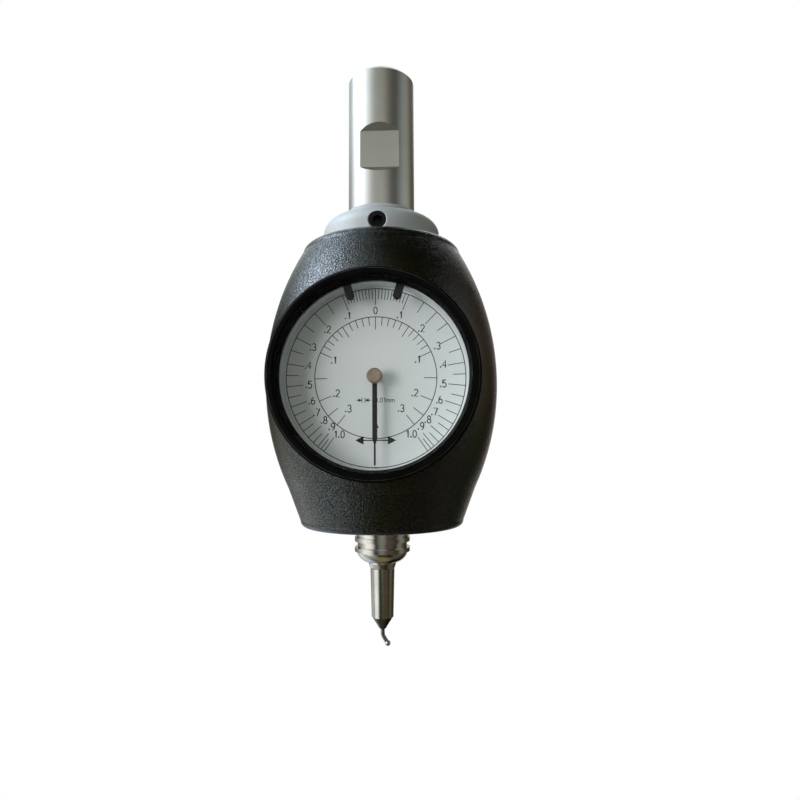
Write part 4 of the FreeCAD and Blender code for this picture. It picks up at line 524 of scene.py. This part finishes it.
def printLabels(ink):
    # label centres in millimetres from the dial's centre, left and right across, then up
    outerPlaces = {"0": (0.0, 0.0, 17.6), ".1": (-7.3, 6.3, 16.35), ".2": (-12.6, 12.0, 12.75),
                   ".3": (-16.4, 16.1, 8.1), ".4": (-17.7, 17.6, 3.3), ".5": (-17.45, 17.55, -1.8),
                   ".6": (-16.6, 16.5, -6.0), ".7": (-15.4, 15.2, -9.05), ".8": (-13.4, 13.5, -11.05),
                   ".9": (-11.4, 11.7, -12.75), "1.0": (-9.45, 9.2, -14.75)}
    innerPlaces = {".1": (-10.95, 10.95, 4.6), ".2": (-10.2, 10.2, -4.1), ".3": (-7.1, 6.6, -8.1)}
    for places in (outerPlaces, innerPlaces):
        for text, (left, right, up) in places.items():
            for across in sorted({left, right}):
                label(ink, text, across * mm, up * mm, scale["digitHeight"], scale["stroke"])


legend = {
    # what one division means: two short bars with an arrow at each, then the value
    "height": -5.95 * mm,
    "bars": (-3.55 * mm, -2.75 * mm),
    "barLength": 1.3 * mm,
    "head": 0.95 * mm,
    "tail": 1.5 * mm,
    "textMiddle": 2.35 * mm,
    "digitHeight": 1.2 * mm,
    "stroke": 0.15 * mm,
    # the double arrow at the bottom and the small mark above it
    "arrowHeight": -16.35 * mm,
    "arrowReach": 5.3 * mm,
    "arrowHead": (2.15 * mm, 2.2 * mm),
    "arrowLine": 0.3 * mm,
    "mark": (-11.3 * mm, -13.2 * mm, 0.85 * mm),
}


def arrow(ink, tipX, z, length, width, way):
    # solid triangle that points along way, its tip at tipX
    base = tipX - length * way
    ink.block([(tipX, z), (base, z + width / 2), (base, z - width / 2)][::way])


def printLegend(ink):
    z = legend["height"]
    for bar, way in zip(legend["bars"], (1, -1)):
        half = legend["barLength"] / 2
        ink.strip([(bar, z - half), (bar, z + half)], dial["line"])
        arrow(ink, bar, z, legend["head"], legend["head"], way)
        ink.strip([(bar - legend["tail"] * way, z), (bar - legend["head"] * way, z)], dial["line"])
    label(ink, "0.01mm", legend["textMiddle"], z, legend["digitHeight"], legend["stroke"])
    z = legend["arrowHeight"]
    length, width = legend["arrowHead"]
    reach = legend["arrowReach"]
    for way in (-1, 1):
        arrow(ink, reach * way, z, length, width, way)
    ink.strip([(length - reach, z), (reach - length, z)], legend["arrowLine"])
    tip, foot, half = legend["mark"]
    ink.block([(0.0, tip), (-half, foot), (half, foot)])


ink = printDial()
printLabels(ink)
printLegend(ink)
ink.piece("dial_print", painted("dialInk", {
    "peelScale": 3000.0, "dark": (0.008, 0.009, 0.01), "light": (0.016, 0.017, 0.018),
    "smooth": 0.5, "rough": 0.65, "peelDepth": 0.05}))
print("dial printed")


view = {
    "place": (12.6 * mm, -182.6 * mm, -69.4 * mm),
    "heading": 2.27,               # degrees, the camera looks this far to the left of +Y
    "pitch": 4.125,                # degrees above level
    "roll": -0.278,
    "lens": 27.63,                 # on a 36 mm sensor
}


def placeCamera():
    camera = bpy.data.cameras.new("camera")
    camera.lens = view["lens"]
    camera.sensor_width = 36.0
    camera.clip_start = 0.005
    camera.clip_end = 20.0
    holder = bpy.data.objects.new("camera", camera)
    bpy.context.scene.collection.objects.link(holder)
    turn = (Matrix.Rotation(math.radians(view["heading"]), 4, "Z")
            @ Matrix.Rotation(math.radians(90 + view["pitch"]), 4, "X")
            @ Matrix.Rotation(math.radians(view["roll"]), 4, "Z"))
    holder.matrix_world = Matrix.Translation(Vector(view["place"])) @ turn
    bpy.context.scene.camera = holder


placeCamera()


room = {
    "floorDrop": 600 * mm,         # floor below the object's lowest point
    "floorSize": 1.3,
    "floorColour": (0.3, 0.297, 0.29),
    "lightCore": 8.0,              # degrees round each light's middle that shine in full
    "lightEdge": 33.0,             # and where it has faded out
}
# Soft lights far round the object: degrees to the left of the dial's front, degrees above level,
# strength and colour. A smaller one also has its own core and edge. The large window is on the left,
# and the reader's own side is dim.
lights = {
    "floorShine": (0, -80, 0.24, (1.36, 1.12, 0.52)),
    "tableFarRight": (-90, -40, 0.12, (1.14, 0.99, 0.87)),
    "tableNear": (0, -40, 0.03, (1.15, 1.56, 0.29)),
    "windowFoot": (60, -40, 0.44, (0.89, 1.04, 1.07)),
    "wallLeftFoot": (120, -40, 0.76, (0.99, 1.10, 0.91)),
    "wallLeftLow": (150, -40, 0.46, (0.73, 0.72, 1.55)),
    "wallRightLow": (-120, -15, 0.04, (1.07, 1.35, 0.58)),
    "tableRight": (-60, -15, 0.03, (1.52, 1.24, 0.24)),
    "tableFrontRight": (-30, -15, 0.06, (1.31, 1.00, 0.70)),
    "windowLow": (60, -15, 1.28, (0.98, 1.03, 0.99)),
    "windowLowSide": (90, -15, 0.17, (0.59, 0.76, 1.65)),
    "wallLeft": (120, -15, 0.34, (1.09, 1.10, 0.80)),
    "wallBehindLow": (180, -15, 0.56, (1.11, 1.01, 0.87)),
    "wallRightFar": (-120, 15, 0.05, (1.86, 1.03, 0.11)),
    "wallRight": (-90, 15, 0.58, (0.94, 1.05, 1.01)),
    "readerRight": (-30, 15, 0.08, (0.79, 0.78, 1.43)),
    "readerSide": (0, 15, 0.65, (1.01, 1.05, 0.93)),
    "windowMiddle": (60, 15, 0.65, (1.05, 0.88, 1.07)),
    "windowFarSide": (90, 15, 1.63, (1.01, 1.05, 0.95)),
    "wallBehind": (180, 15, 0.51, (1.08, 0.93, 0.99)),
    "ceilingRight": (-30, 45, 0.06, (1.62, 1.38, 0.00)),
    "windowHead": (60, 45, 2.10, (0.93, 1.06, 1.00)),
    "windowTop": (90, 45, 0.26, (0.12, 0.66, 2.22)),
    "wallLeftHigh": (150, 45, 0.73, (0.93, 1.08, 0.99)),
    "wallBehindHigh": (180, 45, 1.44, (0.94, 1.05, 1.00)),
    "windowPane": (91, 41, 8.5, (0.86, 0.99, 1.15), 4, 17),
}


def floorMaterial():
    material, tree = nodeMaterial("paleFloor")
    diffuse = add(tree, "ShaderNodeBsdfDiffuse", Color=(*room["floorColour"], 1.0), Roughness=1.0)
    glow = add(tree, "ShaderNodeEmission", Color=(1.0, 1.0, 1.0, 1.0), Strength=1.0)
    mix = tree.nodes.new("ShaderNodeMixShader")
    link(tree, tree.nodes.new("ShaderNodeLightPath"), "Is Camera Ray", mix, "Fac")
    tree.links.new(diffuse.outputs["BSDF"], mix.inputs[1])
    tree.links.new(glow.outputs["Emission"], mix.inputs[2])
    out = tree.nodes.new("ShaderNodeOutputMaterial")
    link(tree, mix, "Shader", out, "Surface")
    return material


def makeFloor():
    size = room["floorSize"] / 2
    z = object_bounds()[0][2] - room["floorDrop"]
    mesh = bpy.data.meshes.new("floor")
    corners = [(-size, -size, z), (size, -size, z), (size, size, z), (-size, size, z)]
    mesh.from_pydata(corners, [], [(0, 1, 2, 3)])
    mesh.materials.append(floorMaterial())
    floor = bpy.data.objects.new("floor", mesh)
    bpy.context.scene.collection.objects.link(floor)
    floor.visible_glossy = False       # its edge would show in the polished probe


daylight = {
    # evens out the dial; metal doesn't mirror it
    "azimuth": 40,
    "elevation": 4,
    "distance": 0.45,
    "size": 0.16,
    "watts": 0.7,
    "colour": (0.97, 1.0, 1.0),
}


def lightWay(azimuth, elevation):
    left, up = math.radians(azimuth), math.radians(elevation)
    return (-math.sin(left) * math.cos(up), -math.cos(left) * math.cos(up), math.sin(up))


def softLight(tree, place, name):
    # one round patch of the world that glows, brightest at its middle
    azimuth, elevation, strength, colour = lights[name][:4]
    core, edge = lights[name][4:] or (room["lightCore"], room["lightEdge"])
    facing = tree.nodes.new("ShaderNodeVectorMath")
    facing.operation = "DOT_PRODUCT"
    facing.inputs[1].default_value = lightWay(azimuth, elevation)
    link(tree, place, "Generated", facing, 0)
    fade = tree.nodes.new("ShaderNodeMapRange")
    fade.interpolation_type = "SMOOTHSTEP"
    fade.inputs["From Min"].default_value = math.cos(math.radians(edge))
    fade.inputs["From Max"].default_value = math.cos(math.radians(core))
    fade.inputs["To Max"].default_value = strength
    link(tree, facing, "Value", fade, "Value")
    glow = add(tree, "ShaderNodeBackground", Color=(*colour, 1.0))
    link(tree, fade, "Result", glow, "Strength")
    return glow


def makeWorld():
    # the camera sees plain white, everything else the soft lights
    world = bpy.data.worlds.new("studio")
    bpy.context.scene.world = world
    world.use_nodes = True
    tree = world.node_tree
    tree.nodes.clear()
    place = tree.nodes.new("ShaderNodeTexCoord")
    total = None
    for name in lights:
        glow = softLight(tree, place, name)
        if total is None:
            total = glow
            continue
        both = tree.nodes.new("ShaderNodeAddShader")
        tree.links.new(total.outputs[0], both.inputs[0])
        tree.links.new(glow.outputs[0], both.inputs[1])
        total = both
    white = add(tree, "ShaderNodeBackground", Color=(1.0, 1.0, 1.0, 1.0), Strength=1.0)
    path = tree.nodes.new("ShaderNodeLightPath")
    choice = tree.nodes.new("ShaderNodeMixShader")
    link(tree, path, "Is Camera Ray", choice, "Fac")
    tree.links.new(total.outputs[0], choice.inputs[1])
    tree.links.new(white.outputs[0], choice.inputs[2])
    out = tree.nodes.new("ShaderNodeOutputWorld")
    link(tree, choice, "Shader", out, "Surface")


def makeDaylight():
    lamp = bpy.data.lights.new("daylight", "AREA")
    lamp.size = daylight["size"]
    lamp.energy = daylight["watts"]
    lamp.color = daylight["colour"]
    holder = bpy.data.objects.new("daylight", lamp)
    bpy.context.scene.collection.objects.link(holder)
    way = Vector(lightWay(daylight["azimuth"], daylight["elevation"]))
    holder.location = Vector((0.0, 0.0, dial["centreZ"])) + way * daylight["distance"]
    holder.rotation_euler = (-way).to_track_quat("-Z", "Y").to_euler()
    holder.visible_glossy = False
    holder.visible_transmission = False
    holder.visible_camera = False


makeFloor()
makeWorld()
makeDaylight()
bpy.context.scene.view_settings.view_transform = "Standard"
print("room lit")
